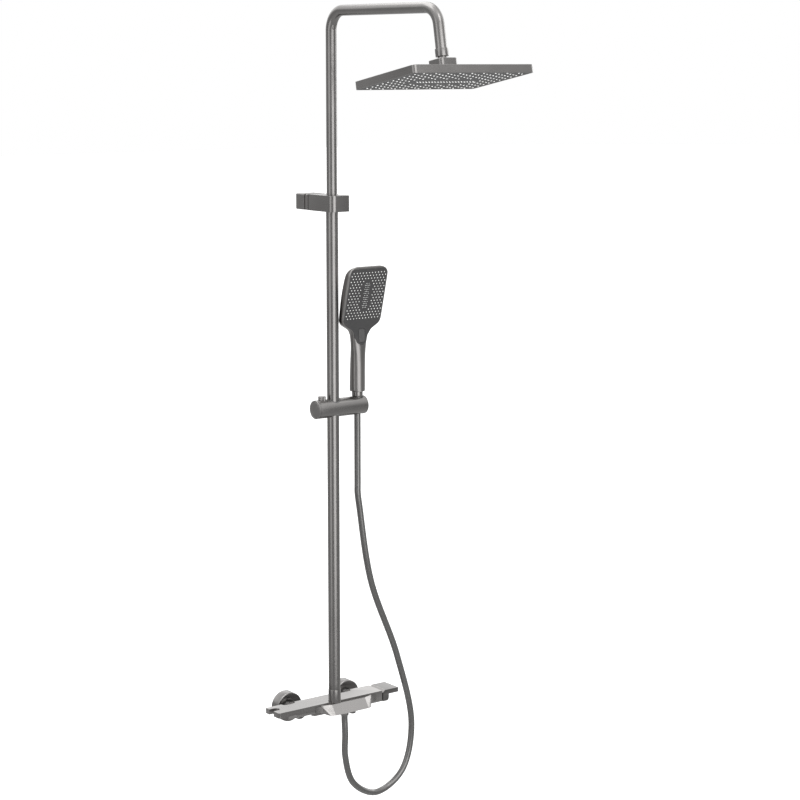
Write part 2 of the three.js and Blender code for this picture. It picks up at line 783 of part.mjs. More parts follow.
const headTop = collarLow - 5 - BOSS_HEIGHT;
const faceZ = headTop - HEAD_THICKNESS;
const bossTop = headTop + BOSS_HEIGHT;
piece(
  "head_boss",
  hung(cut(
    drawn("z", roundRect(BOSS_WIDTH, BOSS_WIDTH, 8), headTop + REST, bossTop),
    turned([
      [0, headTop - 5],
      [seatRadius + RUN, headTop - 5],
      [seatRadius + RUN, ballZ + 6.4],
      [ballR - 0.4, ballZ + 10],
      [ballR - 0.4, bossTop + 5],
      [0, bossTop + 5],
    ], 24),
  )),
);
piece(
  "head_seal",
  hung(ring(2 * seatRadius - 1, 2 * ballR + 0.8, headTop + 0.6, ballZ - 10.5, 28)),
  "rubber",
);
const shell = drawn("z", roundRect(HEAD_WIDTH, HEAD_LENGTH, HEAD_CORNER), faceZ, headTop);
const cavity = drawn(
  "z",
  roundRect(HEAD_WIDTH - 2 * HEAD_WALL, HEAD_LENGTH - 2 * HEAD_WALL, HEAD_CORNER - HEAD_WALL),
  faceZ - 5, headTop - 3.2,
);
piece("rain_head_shell", hung(cut(shell, cavity, rod(10, headTop - 10, headTop + 5, 20))));
const inHead = (shrink) =>
  roundRect(
    HEAD_WIDTH - 2 * HEAD_WALL - shrink, HEAD_LENGTH - 2 * HEAD_WALL - shrink,
    HEAD_CORNER - HEAD_WALL - 0.2,
  );
piece(
  "rain_face_plate",
  hung(drawn("z", inHead(2 * REST), faceZ + 0.6, faceZ + 0.6 + FACE_THICKNESS)),
  "dark",
);
const matZ = faceZ + 0.6 + FACE_THICKNESS + REST;
piece("rain_nozzle_mat", hung(drawn("z", inHead(6), matZ, matZ + 3)), "rubber");

// ---------------------------------------------------------------- hand shower holder

const bar = (geometry) => along("x", geometry).translate(0, RISER_Y, HOLDER_Z);
const barLow = HOLDER_Z - HOLDER_DIAMETER / 2;
const barHigh = HOLDER_Z + HOLDER_DIAMETER / 2;
const bushOuter = LOWER_TUBE_DIAMETER + 5;
const socket = (geometry) => geometry.translate(SOCKET_X, RISER_Y, 0);
const button = (geometry) => geometry.translate(BUTTON_X, RISER_Y, 0);
const linerTop = 12.9;
const linerLow = 9.6;
piece(
  "holder_bar",
  cut(
    bar(rod(HOLDER_DIAMETER, HOLDER_LEFT + 4, HOLDER_RIGHT, 36)),
    onRiser(rod(bushOuter + 2 * RUN, barLow - 5, barHigh + 5, 32)),
    socket(turned([
      [0, barLow - 5],
      [linerLow + REST, barLow - 5],
      [linerTop + REST, barHigh + 5],
      [0, barHigh + 5],
    ], 32)),
    button(rod(BUTTON_DIAMETER + 2 * RUN, barHigh - 15, barHigh + 5, 32)),
  ),
);
piece(
  "holder_cap",
  bar(turned([
    [0, HOLDER_LEFT],
    [HOLDER_DIAMETER / 2 - 1, HOLDER_LEFT],
    [HOLDER_DIAMETER / 2, HOLDER_LEFT + 1],
    [HOLDER_DIAMETER / 2, HOLDER_LEFT + 4 - REST],
    [0, HOLDER_LEFT + 4 - REST],
  ], 36)),
);
const withinBar = bar(rod(HOLDER_DIAMETER - 0.8, HOLDER_LEFT, HOLDER_RIGHT, 36));
piece(
  "holder_bush",
  common(onRiser(ring(bushOuter, LOWER_TUBE_DIAMETER + 2 * RUN, barLow, barHigh, 32)), withinBar),
  "plastic",
);
piece(
  "socket_liner",
  common(
    socket(turned([
      [linerLow - 1.6, barLow + 2],
      [linerLow, barLow + 2],
      [linerTop - 0.6, barHigh - 0.6],
      [linerTop - 1.8, barHigh - 0.6],
    ], 32)),
    withinBar,
  ),
  "plastic",
);
const buttonTop = barHigh + 7.5;
const springTop = barHigh - 8;
piece(
  "release_button",
  button(turned([
    [0, springTop],
    [BUTTON_DIAMETER / 2, springTop],
    [BUTTON_DIAMETER / 2, buttonTop - 1],
    [BUTTON_DIAMETER / 2 - 1, buttonTop],
    [0, buttonTop],
  ], 24)),
);
piece(
  "release_spring",
  button(ring(BUTTON_DIAMETER - 4, BUTTON_DIAMETER - 7, barHigh - 14.7, springTop - REST, 20)),
  "steel",
);

// ---------------------------------------------------------------- hand shower

const mirrored = (points) => [...points, ...points.map(([x, z]) => [-x, z]).reverse()];
const w = HANDLE_WIDTH / 2;
const p = PADDLE_WIDTH / 2;
const foot = barHigh + HANDLE_ABOVE_HOLDER;
const paddleTop = foot + HANDSET_HEIGHT;
// half widths and heights, up the right side of the front view
const frontOutline = mirrored([
  [w - 1, foot],
  [w, foot + 3],
  [w, foot + 71],
  [w + 1.5, foot + 95],
  [w + 5, foot + 111],
  [w + 12, foot + 124],
  [w + 22, foot + 133],
  [p - 6, foot + 140],
  [p - 1.5, foot + 148],
  [p, foot + 158],
  [p, paddleTop - 18],
  [p - 2.5, paddleTop - 9],
  [p - 8, paddleTop - 2.5],
  [p - 16, paddleTop],
]).map(([x, z]) => [z, SOCKET_X + x]);
// distances out from the line of the socket and heights, down the back and up the front
const sideOutline = [
  [-15.5, foot],
  [-12.5, foot + 59],
  [-7, foot + 99],
  [-1, foot + 134],
  [4.5, foot + 171],
  [11.5, foot + 207],
  [22, foot + 239],
  [33.5, paddleTop + 1],
  [44.6, paddleTop + 1],
  [45.4, paddleTop - 1],
  [20.2, foot + 138],
  [18, foot + 114],
  [16.4, foot + 79],
  [15.5, foot],
].map(([out, z]) => [RISER_Y - out, z]);
const handsetBlank = common(
  drawn("y", frontOutline, RISER_Y - 70, RISER_Y + 40),
  drawn("x", sideOutline, SOCKET_X - 60, SOCKET_X + 60),
);

const lean = THREE.MathUtils.degToRad(FACE_LEAN);
/** A plate in the leaning spray face, between two depths behind the face. */
const inFace = (width, height, radius, depth0, depth1) =>
  drawn("z", roundRect(width, height, radius), -depth1, -depth0)
    .rotateX(Math.PI / 2)
    .rotateX(lean)
    .translate(SOCKET_X, RISER_Y - FACE_OUT, foot + FACE_RISE);
/** A round-cornered block through the front of the neck, between two distances out. */
const inNeck = (width, height, radius, middle, out0, out1) =>
  drawn("y", roundRect(height, width, radius), RISER_Y - out1, RISER_Y - out0)
    .translate(SOCKET_X, 0, foot + middle);
const handleBore = socket(rod(17, foot - 10, foot + 71, 24));

piece(
  "handset_shell",
  cut(
    handsetBlank,
    inFace(FACE_WIDTH + 2 * REST, FACE_HEIGHT + 2 * REST, 12, -6, 7.2),
    inNeck(25 + 2 * REST, 34 + 2 * REST, 6, 118, 15.4, 32),
    inNeck(13 + 2 * RUN, 26 + 2 * RUN, 5, 118, 11.5, 32),
    handleBore,
  ),
);
piece("handset_face_plate", inFace(FACE_WIDTH, FACE_HEIGHT, 12, 0, 3), "dark");
piece("handset_nozzle_mat", inFace(FACE_WIDTH - 6, FACE_HEIGHT - 6, 9, 3.3, 6.3), "rubber");
piece(
  "handset_tongue",
  cut(
    common(handsetBlank, inNeck(25, 34, 6, 118, 15.7, 32)),
    inNeck(13 + 2 * RUN, 26 + 2 * RUN, 5, 118, 5, 32),
  ),
  "dark",
);
piece("mode_button", inNeck(13, 26, 5, 118, 14, 20.4));
piece("handset_insert", socket(ring(16.2, HOSE_DIAMETER + 0.8, foot + 3, foot + 19, 24)), "brass");
piece(
  "hose_cone_nut",
  socket(turned([
    [HOSE_DIAMETER / 2 + RUN, foot - 45],
    [7.7, foot - 45],
    [10.5, foot - 13],
    [11.4, foot - 9],
    [11.4, foot - 0.9],
    [11, foot - 0.5],
    [HOSE_DIAMETER / 2 + RUN, foot - 0.5],
  ], 24)),
);

// ---------------------------------------------------------------- hose

const hangs = new THREE.CatmullRomCurve3(
  [
    new THREE.Vector3(HOSE_X, HOSE_Y, -13.5),
    new THREE.Vector3(HOSE_X, HOSE_Y, -24),
    ...HOSE_HANG.map(([x, z]) => new THREE.Vector3(x, RISER_Y, z)),
    new THREE.Vector3(SOCKET_X, RISER_Y, HOSE_SPLIT),
  ],
  false,
  "centripetal",
);
const loop = hangs.getSpacedPoints(44);
const sockets = (z) => new THREE.Vector3(SOCKET_X, RISER_Y, z);
piece("hose_lower", swept(loop, HOSE_DIAMETER, 0, 8), "dark");
const straight = [0, 1, 2, 3, 4, 5, 6].map((i) => sockets(HOSE_SPLIT + 1 + (i * 240) / 6));
piece("hose_upper", swept(straight, HOSE_DIAMETER, 0, 8), "dark");

export default column;
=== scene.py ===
# %% [markdown]
# A rainfall shower column, dressed for its picture.
# The CAD model is the frame: it fixes every size, every place and every joint. This lesson
# puts a finer skin round each piece that shows: rounded edges, smooth tubes, rubber nozzles
# and satin metal. All lengths are in metres; `mm` turns millimetres into metres.

# %% Load the frame
import json
import math

import bmesh
import bpy
from mathutils import Matrix, Vector

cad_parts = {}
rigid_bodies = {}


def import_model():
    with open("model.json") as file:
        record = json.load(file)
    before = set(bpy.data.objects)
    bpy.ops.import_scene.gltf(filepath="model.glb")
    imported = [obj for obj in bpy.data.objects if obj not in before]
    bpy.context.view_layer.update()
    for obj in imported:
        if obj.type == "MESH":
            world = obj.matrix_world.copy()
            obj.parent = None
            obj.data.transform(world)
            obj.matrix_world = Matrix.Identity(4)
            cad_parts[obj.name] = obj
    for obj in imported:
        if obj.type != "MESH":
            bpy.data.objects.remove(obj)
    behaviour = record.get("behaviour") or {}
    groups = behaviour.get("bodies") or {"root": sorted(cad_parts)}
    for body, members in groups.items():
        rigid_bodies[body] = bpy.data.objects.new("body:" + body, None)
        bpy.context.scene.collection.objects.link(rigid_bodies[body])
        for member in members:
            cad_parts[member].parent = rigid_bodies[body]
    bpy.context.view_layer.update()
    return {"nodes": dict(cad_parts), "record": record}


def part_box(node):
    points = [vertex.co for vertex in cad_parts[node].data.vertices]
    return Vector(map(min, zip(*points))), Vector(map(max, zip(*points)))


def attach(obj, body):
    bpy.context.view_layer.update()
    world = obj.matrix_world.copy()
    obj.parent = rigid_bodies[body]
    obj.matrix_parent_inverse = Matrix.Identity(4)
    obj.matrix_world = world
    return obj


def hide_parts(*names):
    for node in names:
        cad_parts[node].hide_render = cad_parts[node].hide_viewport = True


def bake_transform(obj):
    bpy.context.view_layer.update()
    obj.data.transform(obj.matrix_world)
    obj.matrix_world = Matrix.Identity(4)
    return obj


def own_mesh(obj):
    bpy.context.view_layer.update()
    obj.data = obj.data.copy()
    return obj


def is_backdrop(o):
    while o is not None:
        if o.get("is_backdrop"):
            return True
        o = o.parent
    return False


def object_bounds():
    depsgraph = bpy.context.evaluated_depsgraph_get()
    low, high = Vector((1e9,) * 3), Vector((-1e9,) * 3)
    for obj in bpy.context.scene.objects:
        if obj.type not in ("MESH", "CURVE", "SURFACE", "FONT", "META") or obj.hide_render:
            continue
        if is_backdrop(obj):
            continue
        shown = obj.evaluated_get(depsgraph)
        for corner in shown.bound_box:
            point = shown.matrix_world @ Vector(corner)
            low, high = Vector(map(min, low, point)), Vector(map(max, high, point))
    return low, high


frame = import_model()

bodies = frame["record"]["behaviour"]["bodies"]
body_of = {node: body for body, nodes in bodies.items() for node in nodes}


def mm(*values):
    """Millimetres as metres: one number for one value, a tuple for several."""
    lengths = tuple(value / 1000 for value in values)
    return lengths[0] if len(lengths) == 1 else lengths


# %% [markdown]
# The camera comes first, because everything after it is judged through it. A product shot
# like this is taken from far away with a long lens, so that the tall column stays upright
# although the camera looks a little down at it. The lens isn't shifted, so that the column
# also sits in the middle of the frame when it is seen from its other sides.

# %% Camera
LENS_LENGTH, FILM_WIDTH = 93.27, 36  # both in millimetres
CAMERA_PLACE = (-2.4485, -3.5685, 1.3605)
CAMERA_TILT, CAMERA_TURN = 80.715, -36.96  # degrees; 90 is level, and 0 looks square at the wall
SEES_TO = 60
lens = bpy.data.cameras.new("shower_camera")
lens.lens = LENS_LENGTH
lens.sensor_width = FILM_WIDTH
lens.clip_end = SEES_TO
camera = bpy.data.objects.new("shower_camera", lens)
camera.location = CAMERA_PLACE
camera.rotation_euler = (math.radians(CAMERA_TILT), 0, math.radians(CAMERA_TURN))
bpy.context.scene.collection.objects.link(camera)
bpy.context.scene.camera = camera
print("camera stands", round(camera.location.length, 2), "m from the inlets")

# %% [markdown]
# The studio is plain: a pale floor well below the column, a light surround and three soft
# boxes. Satin metal shows what surrounds it, so the surround is lighter above than at its
# sides: the round tubes then get darker edges, which is what makes them read as round.

# %% Floor
FLOOR_BELOW = 1.05  # a shower mixer hangs about this far above the floor
FLOOR_WIDTH = 90


def flat_square(name, width, z):
    """A mesh of one level square, centred on the column."""
    half = width / 2
    corners = [(-half, -half, z), (half, -half, z), (half, half, z), (-half, half, z)]
    mesh = bpy.data.meshes.new(name)
    mesh.from_pydata(corners, [], [(0, 1, 2, 3)])
    return mesh


square = flat_square("studio_floor", FLOOR_WIDTH, -FLOOR_BELOW)
floor = bpy.data.objects.new("studio_floor", square)
bpy.context.scene.collection.objects.link(floor)
floor.visible_glossy = False  # the metal mirrors the room, not the floor's near edge
floor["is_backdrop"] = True
print("floor lies", FLOOR_BELOW, "m below the inlets")

# %% [markdown]
# Lights: two tall walls of light stand either side of the camera, and the dark gap between
# them draws the darker line down the middle of each tube. Two small boxes are aimed so that
# the end facets of the spout catch them, and one overhead lights the level tops.

# %% Lights
COLUMN_MIDDLE, MIXER_MIDDLE = (0, -0.1, 0.6), (0, -0.1, 0)
SOFT_BOXES = [  # name, place, what it faces, width, height, watts
    ("right_wall", (-0.28, -3.2, 0.9), COLUMN_MIDDLE, 2.6, 3.2, 50),
    ("left_wall", (-3.2, -0.35, 0.9), COLUMN_MIDDLE, 1.8, 3.2, 17),
    ("facet_front", (0.1, -1.7, 2.6), MIXER_MIDDLE, 0.7, 0.9, 6),
    ("facet_right", (2.6, -0.1, 1.45), MIXER_MIDDLE, 1.2, 1.2, 10),
    ("top_box", (-0.2, 0.9, 3.4), MIXER_MIDDLE, 3.0, 2.0, 40),
]


def soft_box(name, place, target, width, height, watts):
    """A rectangular soft light that faces its target."""
    light = bpy.data.lights.new(name, "AREA")
    light.shape = "RECTANGLE"
    light.size, light.size_y = width, height
    light.energy = watts
    box = bpy.data.objects.new(name, light)
    box.location = place
    box.rotation_euler = (Vector(target) - Vector(place)).to_track_quat("-Z", "Y").to_euler()
    bpy.context.scene.collection.objects.link(box)


for box in SOFT_BOXES:
    soft_box(*box)
print("soft boxes:", len(SOFT_BOXES))

# %% [markdown]
# The surround and every finish are trees of shader nodes. Written out, a tree takes many
# lines that differ little, so two helpers take up what repeats.

# %% Node helpers


def add_node(tree, kind, inputs=None, **settings):
    """Adds a node, sets its settings and plain inputs, and links any socket given as input."""
    made = tree.nodes.new(kind)
    for key, value in settings.items():
        setattr(made, key, value)
    for key, value in (inputs or {}).items():
        if isinstance(value, bpy.types.NodeSocket):
            tree.links.new(value, made.inputs[key])
        else:
            made.inputs[key].default_value = value
    return made


def grey_ramp(tree, factor, stops):
    """A ramp of neutral greys with (position, level) stops."""
    made = add_node(tree, "ShaderNodeValToRGB", {"Fac": factor})
    while len(made.color_ramp.elements) < len(stops):
        made.color_ramp.elements.new(0.5)
    for element, (position, level) in zip(made.color_ramp.elements, stops):
        element.position = position
        element.color = (level, level, level, 1)
    return made.outputs["Color"]


print("node helpers ready")

# %% [markdown]
# The surround is a world shader. Rays that go straight to the camera see a white studio
# wall. The metal sees a lit room: a bright wall and ceiling behind the column, which is what
# the level tops mirror, and a greyer room in front of it, which is what the upright faces
# mirror.

# %% Surround
FRONT_ROOM = [(0.0, 0.35), (0.42, 0.22), (0.52, 0.2), (0.7, 0.45), (1.0, 0.8)]  # height, grey
BACK_ROOM = [
    (0.0, 0.4), (0.5, 0.3), (0.55, 0.38), (0.62, 0.95), (0.72, 0.95), (0.85, 0.5), (1.0, 0.5),
]
TOWARDS_BACK = (0.577, 0.816, 0)
BACK_FULL = 0.7  # how directly a ray has to look back before it sees only the back room
ROOM_STRENGTH = 1.8
world = bpy.data.worlds.new("studio")
bpy.context.scene.world = world
world.use_nodes = True
sky = world.node_tree
sky.nodes.clear()
direction = add_node(sky, "ShaderNodeTexCoord").outputs["Generated"]
upward = add_node(sky, "ShaderNodeSeparateXYZ", {"Vector": direction}).outputs["Z"]
height = add_node(sky, "ShaderNodeMapRange", {"Value": upward, "From Min": -1, "From Max": 1})
front_room = grey_ramp(sky, height.outputs["Result"], FRONT_ROOM)
back_room = grey_ramp(sky, height.outputs["Result"], BACK_ROOM)
looks_back = add_node(
    sky, "ShaderNodeVectorMath", {0: direction, 1: TOWARDS_BACK}, operation="DOT_PRODUCT",
).outputs["Value"]
behind = add_node(sky, "ShaderNodeMapRange", {
    "Value": looks_back, "From Min": 0.0, "From Max": BACK_FULL,
}).outputs["Result"]
surround = add_node(sky, "ShaderNodeMix", {
    "Factor": behind, 6: front_room, 7: back_room,
}, data_type="RGBA").outputs[2]
seen = add_node(sky, "ShaderNodeBackground", {"Color": (1, 1, 1, 1), "Strength": 1.0})
felt = add_node(sky, "ShaderNodeBackground", {"Color": surround, "Strength": ROOM_STRENGTH})
straight = add_node(sky, "ShaderNodeLightPath").outputs["Is Camera Ray"]
mixed = add_node(sky, "ShaderNodeMixShader", {0: straight, 1: felt.outputs[0], 2: seen.outputs[0]})
add_node(sky, "ShaderNodeOutputWorld", {"Surface": mixed.outputs[0]})
bpy.context.scene.view_settings.view_transform = "Standard"
print("surround nodes:", len(sky.nodes))

# %% [markdown]
# Finishes. Everything metal on this column has one finish: brushed steel or brass under a
# grey vapour coating, satin and a little warm. What more than one finish shares is a shader
# group, built once: the fine grain of the brushing, the cloudy haze that handling leaves,
# and the paler line where a polished edge has been touched most.

# %% Shared effects


def effect(name, inputs, outputs):
    """A new shader group with named float inputs (with their values) and named outputs."""
    group = bpy.data.node_groups.new(name, "ShaderNodeTree")
    for label, value in inputs.items():
        socket = group.interface.new_socket(label, in_out="INPUT", socket_type="NodeSocketFloat")
        socket.default_value = value
    for label in outputs:
        group.interface.new_socket(label, in_out="OUTPUT", socket_type="NodeSocketFloat")
    start = group.nodes.new("NodeGroupInput")
    end = group.nodes.new("NodeGroupOutput")
    return group, start.outputs, end.inputs


def math_node(tree, operation, a, b=0.5):
    """One arithmetic step; a and b are sockets or numbers."""
    return add_node(tree, "ShaderNodeMath", {0: a, 1: b}, operation=operation).outputs[0]


def place_in_metres(tree, stretch):
    """Positions on the piece, squeezed along each axis by stretch."""
    here = add_node(tree, "ShaderNodeTexCoord").outputs["Object"]
    scaled = add_node(tree, "ShaderNodeVectorMath", {0: here, 1: stretch}, operation="MULTIPLY")
    return scaled.outputs[0]


print("effect helpers ready")

# %% [markdown]
# Brushing is noise drawn out along one direction. Three stretch inputs choose it: a low
# number along the strokes and high numbers across them.

# %% Brushed grain
grain, grain_in, grain_out = effect(
    "brushed_grain", {"Along X": 1, "Along Y": 1, "Along Z": 1, "Fineness": 900}, ["Height"],
)
stretch = add_node(grain, "ShaderNodeCombineXYZ", {
    "X": grain_in["Along X"], "Y": grain_in["Along Y"], "Z": grain_in["Along Z"],
}).outputs[0]
strokes = add_node(grain, "ShaderNodeTexNoise", {
    "Vector": place_in_metres(grain, stretch), "Scale": grain_in["Fineness"],
    "Detail": 3, "Roughness": 0.6,
})
grain.links.new(strokes.outputs[0], grain_out["Height"])
print("effect:", grain.name)

# %% [markdown]
# Handling haze is slow, cloudy noise. It only shifts the roughness a little, so that the
# reflections are not the same everywhere, as on a part that has been wiped and touched.

# %% Handling haze
haze, haze_in, haze_out = effect("handling_haze", {"Size": 14, "Spread": 0.5}, ["Mask"])
clouds = add_node(haze, "ShaderNodeTexNoise", {
    "Vector": place_in_metres(haze, (1, 1, 1)), "Scale": haze_in["Size"], "Detail": 5,
})
below = math_node(haze, "MULTIPLY", haze_in["Spread"], 0.5)
above = math_node(haze, "MULTIPLY", haze_in["Spread"], 0.5)
low, high = math_node(haze, "SUBTRACT", 0.5, below), math_node(haze, "ADD", 0.5, above)
spread = add_node(haze, "ShaderNodeMapRange", {
    "Value": clouds.outputs[0], "From Min": low, "From Max": high,
})
haze.links.new(spread.outputs["Result"], haze_out["Mask"])
print("effect:", haze.name)

# %% [markdown]
# Touched edges: the geometry's pointiness tells corners from flats. The mask is thin and
# weak, because this coating is hard and wears slowly.

# %% Touched edges
edges, edges_in, edges_out = effect("touched_edges", {"Start": 0.52, "Full": 0.62}, ["Mask"])
corner = add_node(edges, "ShaderNodeNewGeometry").outputs["Pointiness"]
found = add_node(edges, "ShaderNodeMapRange", {
    "Value": corner, "From Min": edges_in["Start"], "From Max": edges_in["Full"],
})
edges.links.new(found.outputs["Result"], edges_out["Mask"])
print("shared effects:", [g.name for g in bpy.data.node_groups])

# %% [markdown]
# Every finish is a Principled shader with those effects placed round it. On metal the grain
# goes into the roughness, on plastic and rubber into the normal; the haze shifts roughness
# and colour a little, and touched edges are paler.

# %% Placing effects


def use_effect(tree, group, **values):
    """Places a shared effect in a material, with this material's own values."""
    made = tree.nodes.new("ShaderNodeGroup")
    made.node_tree = group
    for label, value in values.items():
        made.inputs[label.replace("_", " ")].default_value = value
    return made.outputs[0]


def blend_colours(tree, factor, first, second):
    """Mixes two plain colours by a mask."""
    made = add_node(tree, "ShaderNodeMix", {"Factor": factor}, data_type="RGBA")
    for socket, colour in ((made.inputs[6], first), (made.inputs[7], second)):
        if isinstance(colour, bpy.types.NodeSocket):
            tree.links.new(colour, socket)
        else:
            socket.default_value = (*colour, 1)
    return made.outputs[2]


print("effects can be placed")

# %% [markdown]
# One maker serves all finishes. `along` is how finely the grain repeats along X, Y and Z, so
# the strokes run where it is lowest; `depth` is how strongly the grain shows.

# %% Finish maker
HAZE_SIZE, HAZE_SPREAD = 14, 0.5
HAZE_DARKER, HAZE_ROUGHNESS = 0.86, 0.06
EDGE_START, EDGE_FULL, EDGE_PALER = 0.52, 0.64, 1.35
COAT_ROUGHNESS = 0.14
GRAIN_STRENGTH = 0.12


def finish(name, colour, rough, metallic=0.0, along=(1, 1, 1), fineness=900, depth=0.02,
           specular=0.5, coat=0.0, glow=0.0):
    """A material for one kind of surface."""
    material = bpy.data.materials.new(name)
    material.use_nodes = True
    tree = material.node_tree
    tree.nodes.clear()
    x, y, z = along
    height = use_effect(tree, grain, Along_X=x, Along_Y=y, Along_Z=z, Fineness=fineness)
    cloud = use_effect(tree, haze, Size=HAZE_SIZE, Spread=HAZE_SPREAD)
    edge = use_effect(tree, edges, Start=EDGE_START, Full=EDGE_FULL)
    tone = blend_colours(tree, cloud, tuple(c * HAZE_DARKER for c in colour), colour)
    tone = blend_colours(tree, edge, tone, tuple(min(1, c * EDGE_PALER) for c in colour))
    roughness = add_node(tree, "ShaderNodeMapRange", {
        "Value": cloud, "To Min": rough - HAZE_ROUGHNESS / 2, "To Max": rough + HAZE_ROUGHNESS / 2,
    }).outputs["Result"]
    if metallic > 0:  # the strokes change the gloss, and are too shallow to tilt the surface
        stroke = add_node(tree, "ShaderNodeMapRange", {
            "Value": height, "To Min": -depth, "To Max": depth,
        }).outputs["Result"]
        roughness = math_node(tree, "ADD", roughness, stroke)
    shader = add_node(tree, "ShaderNodeBsdfPrincipled", {
        "Base Color": tone, "Roughness": roughness, "Metallic": metallic,
        "Coat Weight": coat, "Coat Roughness": COAT_ROUGHNESS, "Specular IOR Level": specular,
        "Emission Color": (1, 1, 1, 1), "Emission Strength": glow,
    })
    if metallic == 0:
        normal = add_node(tree, "ShaderNodeBump", {
            "Height": height, "Strength": GRAIN_STRENGTH, "Distance": mm(depth),
        }).outputs["Normal"]
        tree.links.new(normal, shader.inputs["Normal"])
    add_node(tree, "ShaderNodeOutputMaterial", {"Surface": shader.outputs[0]})
    return material


print("finish maker ready")

# %% [markdown]
# The metal parts share one colour and differ in how they were worked: brushed upright,
# brushed level, turned on a lathe, or coated over a casting. The lever is a darker coating.

# %% Metal finishes
GUNMETAL = (0.27, 0.262, 0.257)
GUNMETAL_DARK = tuple(c * 0.65 for c in GUNMETAL)
STROKES_UP, STROKES_LEVEL, STROKES_ROUND = (40, 40, 1), (1, 40, 40), (8, 8, 30)
gunmetal_upright = finish("gunmetal_upright", GUNMETAL, 0.27, 1.0, STROKES_UP, 60, 0.008)
gunmetal_level = finish("gunmetal_level", GUNMETAL, 0.27, 1.0, STROKES_LEVEL, 60, 0.008)
gunmetal_lever = finish("gunmetal_lever", GUNMETAL_DARK, 0.3, 1.0, STROKES_LEVEL, 60, 0.008)
gunmetal_turned = finish("gunmetal_turned", GUNMETAL, 0.25, 1.0, STROKES_ROUND, 90, 0.01)
gunmetal_coated = finish("gunmetal_coated", GUNMETAL, 0.30, 1.0, fineness=2400, depth=0.008)
print("metal finishes:", len(bpy.data.materials))

# %% [markdown]
# The rest are dark moulded plastics, pale nozzle rubber, black seals, and the bare brass and
# steel of the parts inside. The floor glows a little, so that it stays as pale as the wall.

# %% Other finishes
face_dark = finish("face_dark", (0.042, 0.0415, 0.042), 0.5, fineness=3000, depth=0.002, specular=0.25)
button_grey = finish("button_grey", (0.058, 0.057, 0.057), 0.45, fineness=3000, depth=0.002)
recess_dark = finish("recess_dark", (0.02, 0.02, 0.021), 0.5, fineness=2500)
nozzle_pale = finish("nozzle_pale", (0.62, 0.62, 0.61), 0.6, fineness=3000, depth=0.002)
seal_black = finish("seal_black", (0.018, 0.018, 0.018), 0.7, fineness=2500)
bearing_grey = finish("bearing_grey", (0.09, 0.09, 0.09), 0.45, fineness=2500)
bare_brass = finish("bare_brass", (0.62, 0.46, 0.2), 0.28, 1.0, (6, 6, 40), 80)
bare_steel = finish("bare_steel", (0.5, 0.5, 0.5), 0.25, 1.0, (6, 6, 40), 80)
floor_white = finish("floor_white", (0.9, 0.9, 0.9), 0.9, fineness=30, depth=0.0, glow=0.5)
floor.data.materials.append(floor_white)
print("finishes:", len(bpy.data.materials))

# %% [markdown]
# Shapes. Four ways of making cover the whole column, and each is a helper used many times:
# turning an outline round an axis (nuts, rosettes, tubes), drawing an outline out into a
# slab (shelf, bracket, lever), lofting through rings (hoses, hand shower), and carving one
# closed shape with others. Sharp corners are then softened, because no cast or machined
# edge is truly sharp, and it is the small radius that catches the light.

# %% Piece maker
CRISP = 32  # edges that turn more than this many degrees stay crisp


def new_piece(name, vertices, faces, angle=CRISP):
    """A smooth-shaded mesh object whose edges stay crisp where they turn more than angle."""
    mesh = bpy.data.meshes.new(name)
    mesh.from_pydata([tuple(v) for v in vertices], [], faces)
    mesh.validate()
    tidy = bmesh.new()
    tidy.from_mesh(mesh)
    bmesh.ops.remove_doubles(tidy, verts=tidy.verts, dist=1e-6)
    bmesh.ops.recalc_face_normals(tidy, faces=tidy.faces)
    tidy.to_mesh(mesh)
    tidy.free()
    made = bpy.data.objects.new(name, mesh)
    bpy.context.scene.collection.objects.link(made)
    smooth(made, angle)
    return made


def smooth(piece, angle=CRISP):
    """Smooth shading with crisp edges past an angle."""
    piece.data.polygons.foreach_set("use_smooth", [True] * len(piece.data.polygons))
    piece.data.set_sharp_from_angle(angle=math.radians(angle))


print("piece maker ready")

# %% [markdown]
# Carving is a boolean modifier and softening is a bevel. Both stay editable in Blender until
# they are applied; a carve is applied at once, because the next step builds on its result.

# %% Carving and softening


def applied(piece):
    """Bakes a piece's modifiers into its mesh."""
    view = bpy.context.evaluated_depsgraph_get()
    piece.data = bpy.data.meshes.new_from_object(piece.evaluated_get(view))
    piece.modifiers.clear()
    return piece


def carve(piece, *cutters, mode="DIFFERENCE"):
    """Cuts the cutters out of the piece, or joins them on, and removes them."""
    for cutter in cutters:
        step = piece.modifiers.new("carve", "BOOLEAN")
        step.operation = mode
        step.solver = "EXACT"
        step.object = cutter
    applied(piece)
    for cutter in cutters:
        bpy.data.objects.remove(cutter)
    smooth(piece)
    return piece


def soften(piece, width, segments=3, angle=35):
    """Rounds every edge that turns more than angle."""
    step = piece.modifiers.new("soften", "BEVEL")
    step.width = mm(width)
    step.segments = segments
    step.angle_limit = math.radians(angle)
    step.use_clamp_overlap = True
    step.harden_normals = True
    return piece


def finish_piece(piece, material, *nodes, slot="gunmetal", body=None):
    """Gives a piece its material, its body, and the CAD nodes it stands for; slot is not used."""
    piece.data.materials.clear()
    piece.data.materials.append(material)
    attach(piece, body or body_of[nodes[0]])
    if nodes:
        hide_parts(*nodes)
    return piece


print("carving and softening ready")

# %% [markdown]
# Turned parts are made as on a lathe: an outline of [radius, height] points is spun round.
# The outline's own corners are rounded first, so the radius is real geometry.

# %% Lathe outline
ARC_STEPS = 4
MOST_REACH = 0.48  # an arc takes less than half of either side, so that two arcs never meet


